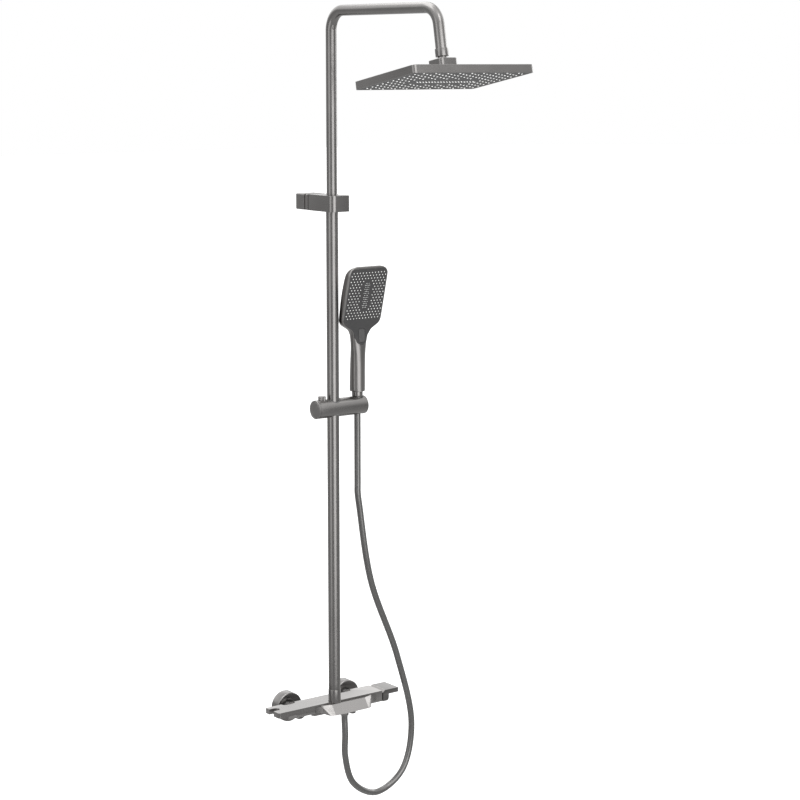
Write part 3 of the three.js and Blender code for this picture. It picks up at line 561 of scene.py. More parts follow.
def rounded(outline):
    """An outline of [radius, height, corner] points with each corner replaced by an arc."""
    made = []
    for i, (u, v, corner) in enumerate(outline):
        here = Vector((u, v))
        if corner <= 0:
            made.append(tuple(here))
            continue
        back = Vector(outline[i - 1][:2]) - here
        ahead = Vector(outline[(i + 1) % len(outline)][:2]) - here
        half = back.angle(ahead) / 2
        reach = min(corner / math.tan(half), MOST_REACH * back.length, MOST_REACH * ahead.length)
        if reach < 1e-6:
            made.append(tuple(here))
            continue
        first, last = here + back.normalized() * reach, here + ahead.normalized() * reach
        for step in range(ARC_STEPS + 1):
            t = step / ARC_STEPS
            spot = first.lerp(here, t).lerp(here.lerp(last, t), t)
            made.append(tuple(spot))
    return made


print("an outline corner takes", ARC_STEPS, "steps")

# %% [markdown]
# The outline is then spun round. `flutes`, where a rim has grips, gives the radius at each
# angle; the axis itself is one shared point, so that a closed end has no hole.

# %% Lathe
ON_AXIS = 1e-9
TO_RIGHT = Matrix.Rotation(math.radians(90), 4, "Y")
OUT_OF_WALL = Matrix.Rotation(math.radians(90), 4, "X")
UPRIGHT = Matrix.Identity(4)


def turned(name, outline, centre, way=UPRIGHT, radius=0.4, sides=72, flutes=None):
    """A part turned round an axis from [radius, height] points in millimetres."""
    corners = [(r, h, *(own or [0 if r < ON_AXIS else radius])) for r, h, *own in outline]
    vertices, rings = [], []
    for r, h in rounded(corners):
        if r < ON_AXIS:
            rings.append([len(vertices)] * sides)
            vertices.append(Vector((0, 0, h)))
            continue
        rings.append(list(range(len(vertices), len(vertices) + sides)))
        for i in range(sides):
            turn = 2 * math.pi * i / sides
            deep = flutes(turn, r, h) if flutes else r
            vertices.append(Vector((deep * math.cos(turn), deep * math.sin(turn), h)))
    faces = []
    for a, b in zip(rings, rings[1:] + rings[:1]):
        for i in range(sides):
            j = (i + 1) % sides
            corners = list(dict.fromkeys((a[i], a[j], b[j], b[i])))
            if len(corners) > 2:
                faces.append(corners)
    place = Matrix.Translation(Vector(centre)) @ way @ Matrix.Scale(0.001, 4)
    return new_piece(name, [place @ v for v in vertices], faces)


def cylinder(diameter, low, high, centre, way=UPRIGHT, sides=72):
    """A plain round cutter."""
    r = diameter / 2
    return turned("cutter", [(0, low), (r, low), (r, high), (0, high)], centre, way, 0, sides)


print("lathe ready")


# %% [markdown]
# Slabs are drawn as flat outlines and pulled straight out. The outline is given in
# millimetres in the plane that faces the drawing axis.

# %% Slab


def slab(name, outline, low, high, axis="z"):
    """A closed outline pulled from low to high along an axis, in millimetres."""
    count = len(outline)
    place = {
        "x": lambda u, v, w: (w, u, v),
        "y": lambda u, v, w: (u, w, v),
        "z": lambda u, v, w: (u, v, w),
    }[axis]
    vertices = [Vector(place(u, v, w)) / 1000 for w in (low, high) for u, v in outline]
    walls = [(i, (i + 1) % count, count + (i + 1) % count, count + i) for i in range(count)]
    lids = [tuple(range(count)), tuple(range(2 * count - 1, count - 1, -1))]
    return new_piece(name, vertices, walls + lids)


def round_rect(width, height, radius, centre=(0, 0), steps=8):
    """The outline of a rectangle with round corners."""
    x, y = width / 2 - radius, height / 2 - radius
    made = []
    for cx, cy, start in ((x, y, 0), (-x, y, 90), (-x, -y, 180), (x, -y, 270)):
        for step in range(steps + 1):
            turn = math.radians(start + 90 * step / steps)
            made.append((centre[0] + cx + radius * math.cos(turn),
                         centre[1] + cy + radius * math.sin(turn)))
    return made


def block(x0, x1, y0, y1, z0, z1):
    """A plain box cutter between two corners, in millimetres."""
    return slab("cutter", [(x0, y0), (x1, y0), (x1, y1), (x0, y1)], z0, z1)


def arc(cx, cy, radius, start, end, steps=12):
    """Points along an arc, angles in degrees."""
    turns = [math.radians(start + (end - start) * i / steps) for i in range(steps + 1)]
    return [(cx + radius * math.cos(t), cy + radius * math.sin(t)) for t in turns]


print("slabs ready")


# %% [markdown]
# A loft joins ring after ring of points with faces and closes the two ends.

# %% Loft
LOFT_CRISP = 40


def band(a, b, count):
    """The faces between two rings of count points that start at a and at b."""
    return [(a + i, a + (i + 1) % count, b + (i + 1) % count, b + i) for i in range(count)]


def loft(name, rings):
    """A skin over rings with the same number of points, closed at both ends."""
    count = len(rings[0])
    last = (len(rings) - 1) * count
    faces = []
    for start in range(0, last, count):
        faces += band(start, start + count, count)
    faces += [tuple(range(count)), tuple(range(last, last + count))]
    return new_piece(name, [v for ring in rings for v in ring], faces, LOFT_CRISP)


def swept_rings(path, radius, sides=32):
    """Rings of points square to a path, without twist."""
    rings = []
    across = None
    for i, point in enumerate(path):
        ahead = (path[min(i + 1, len(path) - 1)] - path[max(i - 1, 0)]).normalized()
        if across is None:
            across = ahead.orthogonal().normalized()
        across = (across - ahead * across.dot(ahead)).normalized()
        up = ahead.cross(across)
        rings.append([
            point + radius * (math.cos(t) * across + math.sin(t) * up)
            for t in (2 * math.pi * k / sides for k in range(sides))
        ])
    return rings


print("lofts ready")

# %% [markdown]
# The hose comes before the solid parts, because it has a real length. It leaves a nut under
# the mixer, hangs in a wide loop under its own weight, and climbs straight up through the
# holder into the handle. Both ends are held, so it is made as two runs of one hose: the loop
# and the straight stretch.

# %% Hose route
HOSE_DIAMETER = 13.8
HOSE_OUT = (17, -95)  # where it leaves the mixer, right of the middle and out from the wall
HOSE_PLANE = -97  # how far out from the wall the loop hangs
SOCKET_X = 52
HOSE_SPLIT, HOSE_TOP = 480, 721
ROUTE_STEPS = 16
STRAIGHT_STEPS = 24
HOSE_HANG = [  # right of the middle, and up
    (17, -60), (17, -108), (38, -172), (99, -206), (168, -172),
    (195, -75), (156, 90), (86, 268), (57, 430), (52, 465),
]


def through(points):
    """A smooth centripetal curve through points."""
    padded = [2 * points[0] - points[1], *points, 2 * points[-1] - points[-2]]
    made = []
    for p0, p1, p2, p3 in zip(padded, padded[1:], padded[2:], padded[3:]):
        t1 = math.sqrt((p1 - p0).length)
        t2 = t1 + math.sqrt((p2 - p1).length)
        t3 = t2 + math.sqrt((p3 - p2).length)
        for step in range(ROUTE_STEPS):
            t = t1 + (t2 - t1) * step / ROUTE_STEPS
            a = p0.lerp(p1, t / t1)
            b = p1.lerp(p2, (t - t1) / (t2 - t1))
            c = p2.lerp(p3, (t - t2) / (t3 - t2))
            near, far = a.lerp(b, t / t2), b.lerp(c, (t - t1) / (t3 - t1))
            made.append(near.lerp(far, (t - t1) / (t2 - t1)))
    return made + [points[-1]]


def length_of(path):
    """The length of a path, in metres."""
    return sum((b - a).length for a, b in zip(path, path[1:]))


knots = [Vector((*HOSE_OUT, -13.5)), Vector((*HOSE_OUT, -24))]
knots += [Vector((x, HOSE_PLANE, z)) for x, z in HOSE_HANG]
knots += [Vector((SOCKET_X, HOSE_PLANE, HOSE_SPLIT))]
hanging = [p / 1000 for p in through(knots)]
straight = [
    Vector((SOCKET_X, HOSE_PLANE, HOSE_SPLIT + (HOSE_TOP - HOSE_SPLIT) * i / STRAIGHT_STEPS)) / 1000
    for i in range(STRAIGHT_STEPS + 1)
]
print("hanging run", round(length_of(hanging), 3), "m")
print("straight run", round(length_of(straight), 3), "m")

# %% [markdown]
# The skin of the hose is clear grey plastic over a wound metal foil: smooth to the touch,
# with the faint pitch of the winding showing through. The winding follows the hose, so each
# run carries its own length along it as an attribute that the material reads.

# %% Hose skin
WINDING_PITCH, WINDING_SHOWS = 3.2, 0.22
HOSE_GREY, FOIL_GREY = (0.135, 0.133, 0.131), (0.26, 0.255, 0.25)


def hose_finish():
    """Smooth satin plastic with a faint winding under it."""
    made = finish("hose_skin", HOSE_GREY, 0.24, 0.75, fineness=1800, depth=0.004, coat=0.6)
    tree = made.node_tree
    shader = next(n for n in tree.nodes if n.type == "BSDF_PRINCIPLED")
    along = add_node(tree, "ShaderNodeAttribute", attribute_name="along_hose").outputs["Fac"]
    turns = math_node(tree, "MULTIPLY", along, 2 * math.pi / mm(WINDING_PITCH))
    wave = math_node(tree, "SINE", turns)
    faint = add_node(tree, "ShaderNodeMapRange", {
        "Value": wave, "From Min": -1, "From Max": 1, "To Min": 0.0, "To Max": WINDING_SHOWS,
    }).outputs["Result"]
    tone = shader.inputs["Base Color"].links[0].from_socket
    tree.links.new(blend_colours(tree, faint, tone, FOIL_GREY), shader.inputs["Base Color"])
    return made


hose_skin = hose_finish()
print("hose finish:", hose_skin.name)

# %% [markdown]
# Each run is a tube lofted along its route, with the real thickness of the hose.


def hose_run(name, path, node):
    """One run of the hose as a smooth tube that knows how far along it each point is."""
    run = loft(name, swept_rings(path, mm(HOSE_DIAMETER / 2), 40))
    far = [0.0]
    for a, b in zip(path, path[1:]):
        far.append(far[-1] + (b - a).length)
    mark = run.data.attributes.new("along_hose", "FLOAT", "POINT")
    for vertex in run.data.vertices:
        nearest = min(range(len(path)), key=lambda i: (path[i] - vertex.co).length_squared)
        mark.data[vertex.index].value = far[nearest]
    run.data.materials.append(hose_skin)
    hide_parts(node)
    return run


hose_hanging = hose_run("hose_hanging", hanging, "hose_lower")
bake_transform(hose_hanging)
hose_straight = hose_run("hose_straight", straight, "hose_upper")
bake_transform(hose_straight)
print("hose points:", len(hose_hanging.data.vertices), "+", len(hose_straight.data.vertices))

# %% [markdown]
# Inlets. Two unions come through the wall 150 mm apart. Each carries a deep cup rosette that
# hides the hole in the tiles, and a round nut that draws the mixer on to the union.

# %% Rosettes and union nuts
INLET_X = 75
for side, x in (("left", -INLET_X), ("right", INLET_X)):
    centre = mm(x, 0, 0)
    rosette = turned(f"{side}_rosette_cup", [
        (29, 0), (31.5, 0, 0.3), (31.5, 23.6, 2.2), (10.8, 23.6, 0.4), (10.8, 21.1), (29, 21.1, 1),
    ], centre, OUT_OF_WALL, sides=96)
    finish_piece(rosette, gunmetal_level, f"{side}_rosette")
    nut = turned(f"{side}_union_cover", [
        (10.8, 34), (14.6, 34, 0.6), (16.5, 36, 1.0), (16.5, 62.6, 0.5), (15.9, 64.2, 0.4),
        (13.3, 64.2), (13.3, 39.7), (10.8, 39.7),
    ], centre, OUT_OF_WALL, sides=96)
    finish_piece(nut, gunmetal_level, f"{side}_union_nut")
print("inlet covers made")

# %% [markdown]
# The mixer is a flat shelf with the valve body under it. The shelf is one thick plate with a
# hook slot in its left end; the body below is narrower and slopes back towards the wall, so
# that from the front only a thin dark band of it shows under the shelf.

# %% Shelf
SHELF_LEFT, SHELF_RIGHT = -155, 112
SHELF_FRONT, SHELF_BACK = -102, -52
SHELF_LOW, SHELF_TOP = 9.5, 21
SLOT_Y, SLOT_WIDTH, SLOT_DEPTH = -73.5, 16, 19
NOTCH_WIDTH, NOTCH_DEPTH = 32, 9.5
NUT_RECESS_ROOF = 17.3
CORNER = 5
RISER = (-10, -97)
RISER_BASE = mm(*RISER, 0)


slot_end = SHELF_LEFT + SLOT_DEPTH - SLOT_WIDTH / 2
shelf_outline = [(SHELF_RIGHT, SHELF_FRONT), (SHELF_RIGHT, SHELF_BACK), (SHELF_LEFT, SHELF_BACK)]
shelf_outline += [(SHELF_LEFT, SLOT_Y + SLOT_WIDTH / 2)]
shelf_outline += arc(slot_end, SLOT_Y, SLOT_WIDTH / 2, 90, -90, 24)
shelf_outline += [(SHELF_LEFT, SLOT_Y - SLOT_WIDTH / 2)]
shelf_outline += arc(SHELF_LEFT + CORNER, SHELF_FRONT + CORNER, CORNER, 180, 270)
shelf = slab("shelf", shelf_outline, SHELF_LOW, SHELF_TOP)
cutters = [cylinder(27, 0, 60, RISER_BASE)]
for x in (-INLET_X, INLET_X):
    recess = round_rect(38, 26, 8, (x, SHELF_BACK))
    cutters.append(slab("cutter", recess, 0, NUT_RECESS_ROOF))
for x in (-100, 45):
    notch = round_rect(NOTCH_WIDTH, 2 * NOTCH_DEPTH, NOTCH_DEPTH - 0.5, (x, SHELF_BACK))
    cutters.append(slab("cutter", notch, 0, 40))
carve(shelf, *cutters)
soften(shelf, 0.9, 3)
finish_piece(shelf, gunmetal_level, "shelf_plate")
print("shelf points:", len(shelf.data.vertices))

# %% [markdown]
# The valve body is drawn as two side outlines, shallow to the left of the step and deep to
# its right, pulled out along the wall and joined. Its left end is trimmed round, and the
# holes are for the cartridge stem, the hose outlet and the diverter stem.

# %% Valve body
BODY_LEFT, BODY_STEP, BODY_RIGHT = -112, -48, 112
STEM_AXIS = mm(0, -80, 2.5)
HOSE_BASE, KNOB_BASE = mm(*HOSE_OUT, 0), mm(38, -95, 0)
shallow_side = [(-101.7, 9.2), (-101.7, 3.5), (-78, -6.5), (-64.5, -11.5), (-64.5, 9.2)]
deep_side = [(-101.7, 9.2), (-101.7, -2.5), (-78, -11.5), (-64.5, -14), (-64.5, 9.2)]
valve_body = slab("valve_body", shallow_side, BODY_LEFT, BODY_STEP, "x")
left_end = [(-117, -30), (-106, -30), (-106, 3.5)]
left_end += arc(-106, 9.5, 6, -90, -180, 10)
left_end += [(-117, 9.5)]
carve(valve_body, slab("cutter", left_end, -110, 0, "y"))
carve(valve_body, slab("cutter", deep_side, BODY_STEP - 0.01, BODY_RIGHT, "x"), mode="UNION")
carve(
    valve_body,
    cylinder(12.6, 78, 117, STEM_AXIS, TO_RIGHT),
    cylinder(13, -20, 2, HOSE_BASE),
    cylinder(7, -20, 2, KNOB_BASE),
)
soften(valve_body, 0.9, 3)
finish_piece(valve_body, gunmetal_level, "mixer_body")
print("valve body points:", len(valve_body.data.vertices))

# %% [markdown]
# The spout is a wide wedge on the front of the body. Water leaves through a slot in its
# underside as a flat sheet. Its face slopes out and down, with a facet at each end; the
# facets run into the body in a hollow curve that catches a bright upright line.

# %% Spout
SPOUT_X, SPOUT_BACK, SPOUT_TOP = 17, -102.3, 17.5
WING = 17  # how far each hollow curve runs along the body


def hull(name, points):
    """The tightest closed skin round some points, in millimetres."""
    made = bmesh.new()
    for point in points:
        made.verts.new(Vector(point) / 1000)
    bmesh.ops.convex_hull(made, input=made.verts)
    bmesh.ops.dissolve_limit(made, angle_limit=0.02, verts=made.verts, edges=made.edges)
    mesh = bpy.data.meshes.new(name)
    made.to_mesh(mesh)
    made.free()
    piece = bpy.data.objects.new(name, mesh)
    bpy.context.scene.collection.objects.link(piece)
    smooth(piece)
    return piece


spout_points = []
for side in (-1, 1):
    spout_points += [
        (SPOUT_X + side * 65, SPOUT_BACK, SPOUT_TOP),
        (SPOUT_X + side * 65, SPOUT_BACK - 0.4, SPOUT_TOP - 1),
        (SPOUT_X + side * 43, -109.8, SPOUT_TOP),
        (SPOUT_X + side * 43, -124.5, -2.5),
        (SPOUT_X + side * 52, -120.5, -3.1),
        (SPOUT_X + side * 52, SPOUT_BACK, -5),
        (SPOUT_X + side * 65, SPOUT_BACK, 2.5),
    ]
spout = hull("spout", spout_points)
wings = []
for side in (-1, 1):
    shoulder = SPOUT_X + side * 62
    hollow = [(shoulder, SPOUT_BACK), (shoulder + side * WING, SPOUT_BACK)]
    for t in (i / 8 for i in range(9)):
        hollow.append((shoulder + side * (WING - WING * t), SPOUT_BACK - 0.25 - 2.6 * t * t))
    wings.append(slab("cutter", hollow, 2.6, SPOUT_TOP - 1.2))
carve(spout, *wings, mode="UNION")
carve(
    spout,
    block(SPOUT_X - 38, SPOUT_X + 38, -118, -112, -12, 2.5),
    cylinder(21.6, -2, 60, RISER_BASE),
)
smooth(spout, 10)
soften(spout, 0.6, 2, 10)
finish_piece(spout, gunmetal_level, "spout_shell")
print("spout points:", len(spout.data.vertices))

# %% [markdown]
# The lever is the right end of the shelf line: a flat paddle with a hub below it that holds
# the cartridge stem. Its left top edge is cut back in a broad bevel, and a thin paler sheet
# laid on the bevel is a painted highlight, so the gap to the shelf reads as a light strip.

# %% Lever
lever_side = [
    (114.6, 11), (114.6, 15.2), (121.4, 21), (155, 21), (155, 11), (130, 11), (130, 2.5),
    (128.5, -1.5), (125, -3.5), (114.6, -3.5),
]
lever = slab("lever_handle", lever_side, SHELF_FRONT, SHELF_BACK, "y")
carve(
    lever,
    block(109, 160, -64.5, 0, -20, 11),
    cylinder(9.6, 109, 125, STEM_AXIS, TO_RIGHT),
    cylinder(4.8, 114, 160, STEM_AXIS, TO_RIGHT),
)
smooth(lever, 12)
soften(lever, 0.6, 3, 12)
finish_piece(lever, gunmetal_lever, "lever")
# A thin paler sheet over the bevel: a painted highlight where the bevel catches the light.
lever_highlight_strip = slab("lever_painted_highlight_strip", [
    (114.5, 15.6), (121.2, 21.3), (120.2, 21.3), (114.0, 16.0),
], SHELF_FRONT + 0.6, SHELF_BACK - 0.6, "y")
finish_piece(lever_highlight_strip, gunmetal_coated, body="lever")
print("lever made:", lever.name, lever_highlight_strip.name)

# %% [markdown]
# Under the body hang the hose nut and the small diverter knob. Both are turned, with grip
# flutes cut into the rim.

# %% Hose nut and diverter knob


def fluted(teeth, depth, above):
    """A rim that goes in and out round the axis, where the radius is past above."""
    def rim(turn, r, h):
        return r - (depth * (0.5 - 0.5 * math.cos(teeth * turn)) if r > above else 0)
    return rim


hose_nut = turned("hose_nut", [
    (7.2, -17), (8.2, -17, 0.3), (9, -15.5, 0.4), (9, -10.5, 0.3), (6.5, -10.5), (6.5, -12.9),
    (7.2, -12.9),
], HOSE_BASE, sides=144, flutes=fluted(24, 0.35, 8.6))
finish_piece(hose_nut, gunmetal_turned, "hose_lower_nut")
knob = turned("diverter_grip", [
    (0, -16), (6.4, -16, 0.5), (7, -15.4, 0.3), (7, -9.6, 0.3), (6.4, -9, 0.3), (0, -9),
], KNOB_BASE, sides=144, flutes=fluted(24, 0.4, 6.7))
finish_piece(knob, gunmetal_turned, "diverter_knob")
print("under the body:", hose_nut.name, knob.name)

# %% [markdown]
# The riser is two tubes that telescope: the wide one stands on a nut in the shelf, and the
# narrower one slides inside it above the wall bracket, so the head can be set to height.

# %% Riser
riser_foot = turned("riser_nut", [
    (10.8, 17.8), (13.1, 17.8, 0.3), (13.1, 47, 0.7), (10.8, 47),
], RISER_BASE, sides=96)
finish_piece(riser_foot, gunmetal_turned, "riser_foot_nut")
tube_steps = [(12.5, 60 + 20 * i, 0) for i in range(51)]  # short faces carry the grain evenly
riser = turned("riser_tube", [
    (11.3, 47.3), (12.5, 47.3, 0.4), *tube_steps, (12.5, 1077.5, 0.4), (11.3, 1077.5),
], RISER_BASE, sides=96)
finish_piece(riser, gunmetal_upright, "riser_lower_tube")
bush = turned("riser_bush", [
    (11.3, 1077.8), (12.5, 1077.8, 0.2), (12.5, 1088.5, 0.6), (11.3, 1088.5),
], RISER_BASE, sides=96)
finish_piece(bush, bearing_grey, "telescope_bush", slot="bearing_plastic")
print("riser pieces:", riser_foot.name, riser.name, bush.name)

# %% [markdown]
# The wall bracket is a block on the wall, a narrower dark neck, and an arm that clasps the
# riser. The arm's left front corner has a large radius, its right one a small radius.

# %% Wall bracket
left, right, low, high = -33, 13, 1058, 1091
BRACKET_MIDDLE = (-10, 1074.5)
BOLT_AXIS = mm(-10, 0, 1074.5)
plate_outline = round_rect(46, 33, 2.5, BRACKET_MIDDLE)
arm_outline = [(left, -45.9)]
arm_outline += arc(left + 12, -116, 12, 180, 270, 16)
arm_outline += arc(right - 4, -124, 4, 270, 360, 8)
arm_outline += [(right, -45.9)]
bracket = slab("bracket_clasp", arm_outline, low, high)
carve(
    bracket,
    cylinder(25.6, low - 5, high + 5, RISER_BASE, sides=96),
    cylinder(6.6, 20, 72, BOLT_AXIS, OUT_OF_WALL),
    cylinder(5.6, high - 8, high + 5, mm(-10, -64, 0)),
)
soften(bracket, 1.8, 4)
finish_piece(bracket, gunmetal_upright, "bracket_arm")
neck = slab("bracket_spacer", round_rect(42, 29, 1.5, BRACKET_MIDDLE), -45.6, -29.1, "y")
carve(neck, cylinder(6.6, 20, 72, BOLT_AXIS, OUT_OF_WALL))
finish_piece(neck, gunmetal_coated, "bracket_neck", slot="dark_plastic")
plate = slab("bracket_plate", plate_outline, -41.2, -34.6, "y")
soften(plate, 0.8, 3)
finish_piece(plate, gunmetal_upright, body="column")
wall_block = slab("bracket_foot", plate_outline, -28.8, 0, "y")
carve(wall_block, cylinder(6.6, -5, 40, BOLT_AXIS, OUT_OF_WALL))
soften(wall_block, 1.6, 4)
finish_piece(wall_block, gunmetal_upright, "bracket_wall_block")
print("bracket pieces:", bracket.name, neck.name, wall_block.name)

# %% [markdown]
# The overhead arm is one bent tube. Its path is straight up, a quarter bend out from the
# wall, a long level run, and a bend down to the head, which leans out a little from level.

# %% Overhead arm
ARM_Z, ARM_REACH, BEND, DROOP = 1461, 313, 40, math.radians(10.2)
ARM_FOOT = 827.5  # inside the wide tube
ARM_TIP = 54  # straight length after the last bend
riser_x, riser_y = RISER
arm_path = [(riser_y, ARM_FOOT + (ARM_Z - BEND - ARM_FOOT) * i / 30) for i in range(31)]
for i in range(1, 25):
    turn = math.radians(90) * i / 24
    arm_path.append((riser_y - BEND * (1 - math.cos(turn)), ARM_Z - BEND * (1 - math.sin(turn))))
arm_end = riser_y - ARM_REACH
level_from = arm_path[-1][0]
arm_path += [(level_from + (arm_end - level_from) * i / 15, ARM_Z) for i in range(1, 15)]
for i in range(25):
    turn = (math.radians(90) - DROOP) * i / 24
    arm_path.append((arm_end - BEND * math.sin(turn), ARM_Z - BEND * (1 - math.cos(turn))))
drop_y, drop_z = arm_path[-1]
arm_path.append((drop_y - ARM_TIP * math.sin(DROOP), drop_z - ARM_TIP * math.cos(DROOP)))
arm_line = [Vector((riser_x, y, z)) / 1000 for y, z in arm_path]
arm = loft("bent_arm", swept_rings(arm_line, mm(11), 64))
finish_piece(arm, gunmetal_upright, "overhead_arm")
print("arm reaches", round(-drop_y), "mm from the wall")

# %% [markdown]
# Everything under the arm hangs square to its end, so it is made upright with the end of the
# last bend at the origin, then leaned and lifted into place.

# %% Collar, ball and boss
LEANED = Matrix.Rotation(-DROOP, 4, "X")
DROP = mm(riser_x, drop_y, drop_z)


def hang(piece):
    """Moves a piece made upright at the origin to the end of the arm."""
    piece.data.transform(Matrix.Translation(Vector(DROP)) @ LEANED)
    return piece


collar = turned("arm_sleeve", [
    (11.3, -45), (12.7, -45, 0.5), (12.7, -60, 0.5), (8.9, -60), (8.9, -54.5), (11.3, -54.5),
], DROP, LEANED, sides=96)
finish_piece(collar, gunmetal_turned, "arm_collar")
BALL_Z, BALL_R = -78, 13
ball_outline = [(4, BALL_Z - 9.2)]
for i in range(15):
    turn = math.radians(-45 + 91 * i / 14)
    ball_outline.append((BALL_R * math.cos(turn), BALL_Z + BALL_R * math.sin(turn), 0))
ball_outline += [(8.6, -67, 0.5), (8.6, -56), (4, -56)]
ball = turned("ball_joint", ball_outline, DROP, LEANED)
finish_piece(ball, gunmetal_turned, "ball_stud")
boss = slab("head_boss_block", round_rect(42, 42, 8), -90.7, -65)
hole = turned("cutter", [(0, -96), (16.4, -96), (16.4, -71.6), (12.6, -68), (12.6, -60), (0, -60)],
              (0, 0, 0), radius=0)
carve(boss, hole)
soften(boss, 1.6, 4)
finish_piece(hang(boss), gunmetal_coated, "head_boss")
print("under the arm:", collar.name, ball.name, boss.name)

# %% [markdown]
# The rain head is a shallow pressed shell with a dark spray face set into its underside.
# The nozzles stand in a staggered grid, soft so that scale can be rubbed off. A belt of
# slanted slots a little towards the wall gives a separate, fuller fall.

# %% Rain head shell and face
HEAD_LOW, HEAD_TOP = -106.7, -91
head = slab("head_shell", round_rect(285, 187, 7), HEAD_LOW, HEAD_TOP)
carve(
    head,
    slab("cutter", round_rect(280.2, 182.2, 4.6), HEAD_LOW - 5, HEAD_TOP - 3.2),
    cylinder(10, -100, -85, (0, 0, 0)),
)
soften(head, 0.8, 3)
finish_piece(hang(head), gunmetal_coated, "rain_head_shell")
rain_face = slab("head_spray_face", round_rect(279.6, 181.6, 4.4), HEAD_LOW + 0.6, HEAD_LOW + 3.6)
soften(rain_face, 0.4, 2)
finish_piece(hang(rain_face), face_dark, "rain_face_plate", slot="dark_plastic")
print("head points:", len(head.data.vertices))

# %% [markdown]
# A nozzle is an outline drawn down in four rings, the last ones smaller, so its rim is
# round. All nozzles of one kind are one mesh, because hundreds of objects would be slow.

# %% Rain nozzles


def studs(name, outline, places, depth):
    """Many copies of one small stud or slot that hangs down, as one piece."""
    vertices, faces = [], []
    rings = [(1.0, 0.25), (1.0, 0.0), (0.93, -0.75 * depth), (0.72, -depth)]  # size, height
    count = len(outline)
    for x, y, z in places:
        start = len(vertices)
        for grow, drop in rings:
            vertices += [Vector((x + u * grow, y + v * grow, z + drop)) / 1000 for u, v in outline]
        for k in range(len(rings) - 1):
            faces += band(start + k * count, start + (k + 1) * count, count)
        faces.append(tuple(range(start, start + count)))
        faces.append(tuple(range(start + 3 * count, start + 4 * count)))
    return new_piece(name, vertices, faces, 50)


COLUMN_PITCH, ROW_PITCH = 14.1, 8.3
stud_sites = []
for k in range(-9, 10):
    for j in range(-10, 11):  # the belt is left clear for the slots
        belt = -2 <= j <= 4 and -5 <= k <= 5 and (k, j) != (-4, 4)
        if (k + j) % 2 == 0 and not belt:
            stud_sites.append((k * COLUMN_PITCH, j * ROW_PITCH, HEAD_LOW + 0.6))
nozzles = studs("rain_nozzles", arc(0, 0, 1.75, 0, 330, 11), stud_sites, 1.0)
finish_piece(hang(nozzles), nozzle_pale, "rain_nozzle_mat", slot="nozzle_rubber")
print("rain nozzles:", len(stud_sites))

# %% [markdown]
# The slots of the belt are made the same way, from a capsule turned by 45 degrees.

# %% Rain slots
slot_half, slot_wide = 5.2, 1.1
slant = Matrix.Rotation(math.radians(45), 2)
capsule = arc(slot_half, 0, slot_wide, -90, 90, 6) + arc(-slot_half, 0, slot_wide, 90, 270, 6)
capsule = [tuple(slant @ Vector(p)) for p in capsule]
slot_sites = [(-57 + 7.05 * i, 11, HEAD_LOW + 0.6) for i in range(20)]
rain_slots = studs("rain_slots", capsule, slot_sites, 0.8)
finish_piece(hang(rain_slots), nozzle_pale, body="rain_head", slot="nozzle_rubber")
print("rain slots:", len(slot_sites))

# %% [markdown]
# The hand shower holder is a short bar across the riser. It clamps to the riser on a plastic
# bush, has a tapered hole for the hose nut at its right end, and a button at its left end
# that frees it to slide.

# %% Holder bar
HOLDER_Z, HOLDER_R = 651, 19.5
BUTTON_X = -38
BUTTON_BASE = mm(BUTTON_X, RISER[1], 0)
bar_low, bar_high = HOLDER_Z - HOLDER_R, HOLDER_Z + HOLDER_R
bar_centre = mm(0, RISER[1], HOLDER_Z)
bar = turned("holder_body", [
    (0, -52), (19.5, -52, 0.4), (19.5, 68, 1.6), (0, 68),
], bar_centre, TO_RIGHT, sides=96)
socket_taper = [(0, bar_low - 5), (9.9, bar_low - 5), (13.2, bar_high + 5), (0, bar_high + 5)]
carve(
    bar,
    cylinder(30.8, bar_low - 5, bar_high + 5, RISER_BASE, sides=96),
    turned("cutter", socket_taper, mm(SOCKET_X, RISER[1], 0), radius=0),
    cylinder(16.8, bar_high - 15, bar_high + 5, BUTTON_BASE),
)
soften(bar, 0.45, 2, 40)
finish_piece(bar, gunmetal_level, "holder_bar")
cap = turned("holder_end_cap", [
    (0, -56), (15.6, -56, 0.2), (16.1, -55.5, 0.2), (16.6, -56, 0.2), (18.6, -56, 0.6),
    (19.5, -55, 0.5), (19.5, -52.3, 0.3), (0, -52.3),
], bar_centre, TO_RIGHT, sides=96)
finish_piece(cap, gunmetal_coated, "holder_cap")
print("holder points:", len(bar.data.vertices))

# %% [markdown]
# The button stands on a small coil spring in a hole of the bar.

# %% Release button
button_top = bar_high + 7.5
button = turned("release_grip", [
    (0, button_top - 15.5), (8, button_top - 15.5, 0.3), (8, button_top - 1, 0.3),
    (7, button_top, 0.6), (0, button_top - 0.5),
], BUTTON_BASE, sides=160, flutes=fluted(20, 0.7, 7.2))
finish_piece(button, gunmetal_turned, "release_button")
spring_low, spring_high = bar_high - 14.2, button_top - 16.3
SPRING_R, SPRING_STEPS = 5.4, 96  # three turns of 32 steps
coil = []
for i in range(SPRING_STEPS + 1):
    turn = 2 * math.pi * i / 32
    x, y = BUTTON_X + SPRING_R * math.cos(turn), RISER[1] + SPRING_R * math.sin(turn)
    rise = spring_low + (spring_high - spring_low) * i / SPRING_STEPS
    coil.append(Vector((x, y, rise)) / 1000)
spring = loft("button_spring", swept_rings(coil, mm(0.45), 10))
finish_piece(spring, bare_steel, "release_spring", slot="plain_steel")
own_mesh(spring)
print("button:", button.name, spring.name)

# %% [markdown]
# The hand shower starts as a round handle and opens into a flat, round-cornered paddle that
# leans out over the user. A loft suits it: ring after ring, each with its own width, its own
# front and back, and its own squareness, from a circle at the foot to a soft slab above.

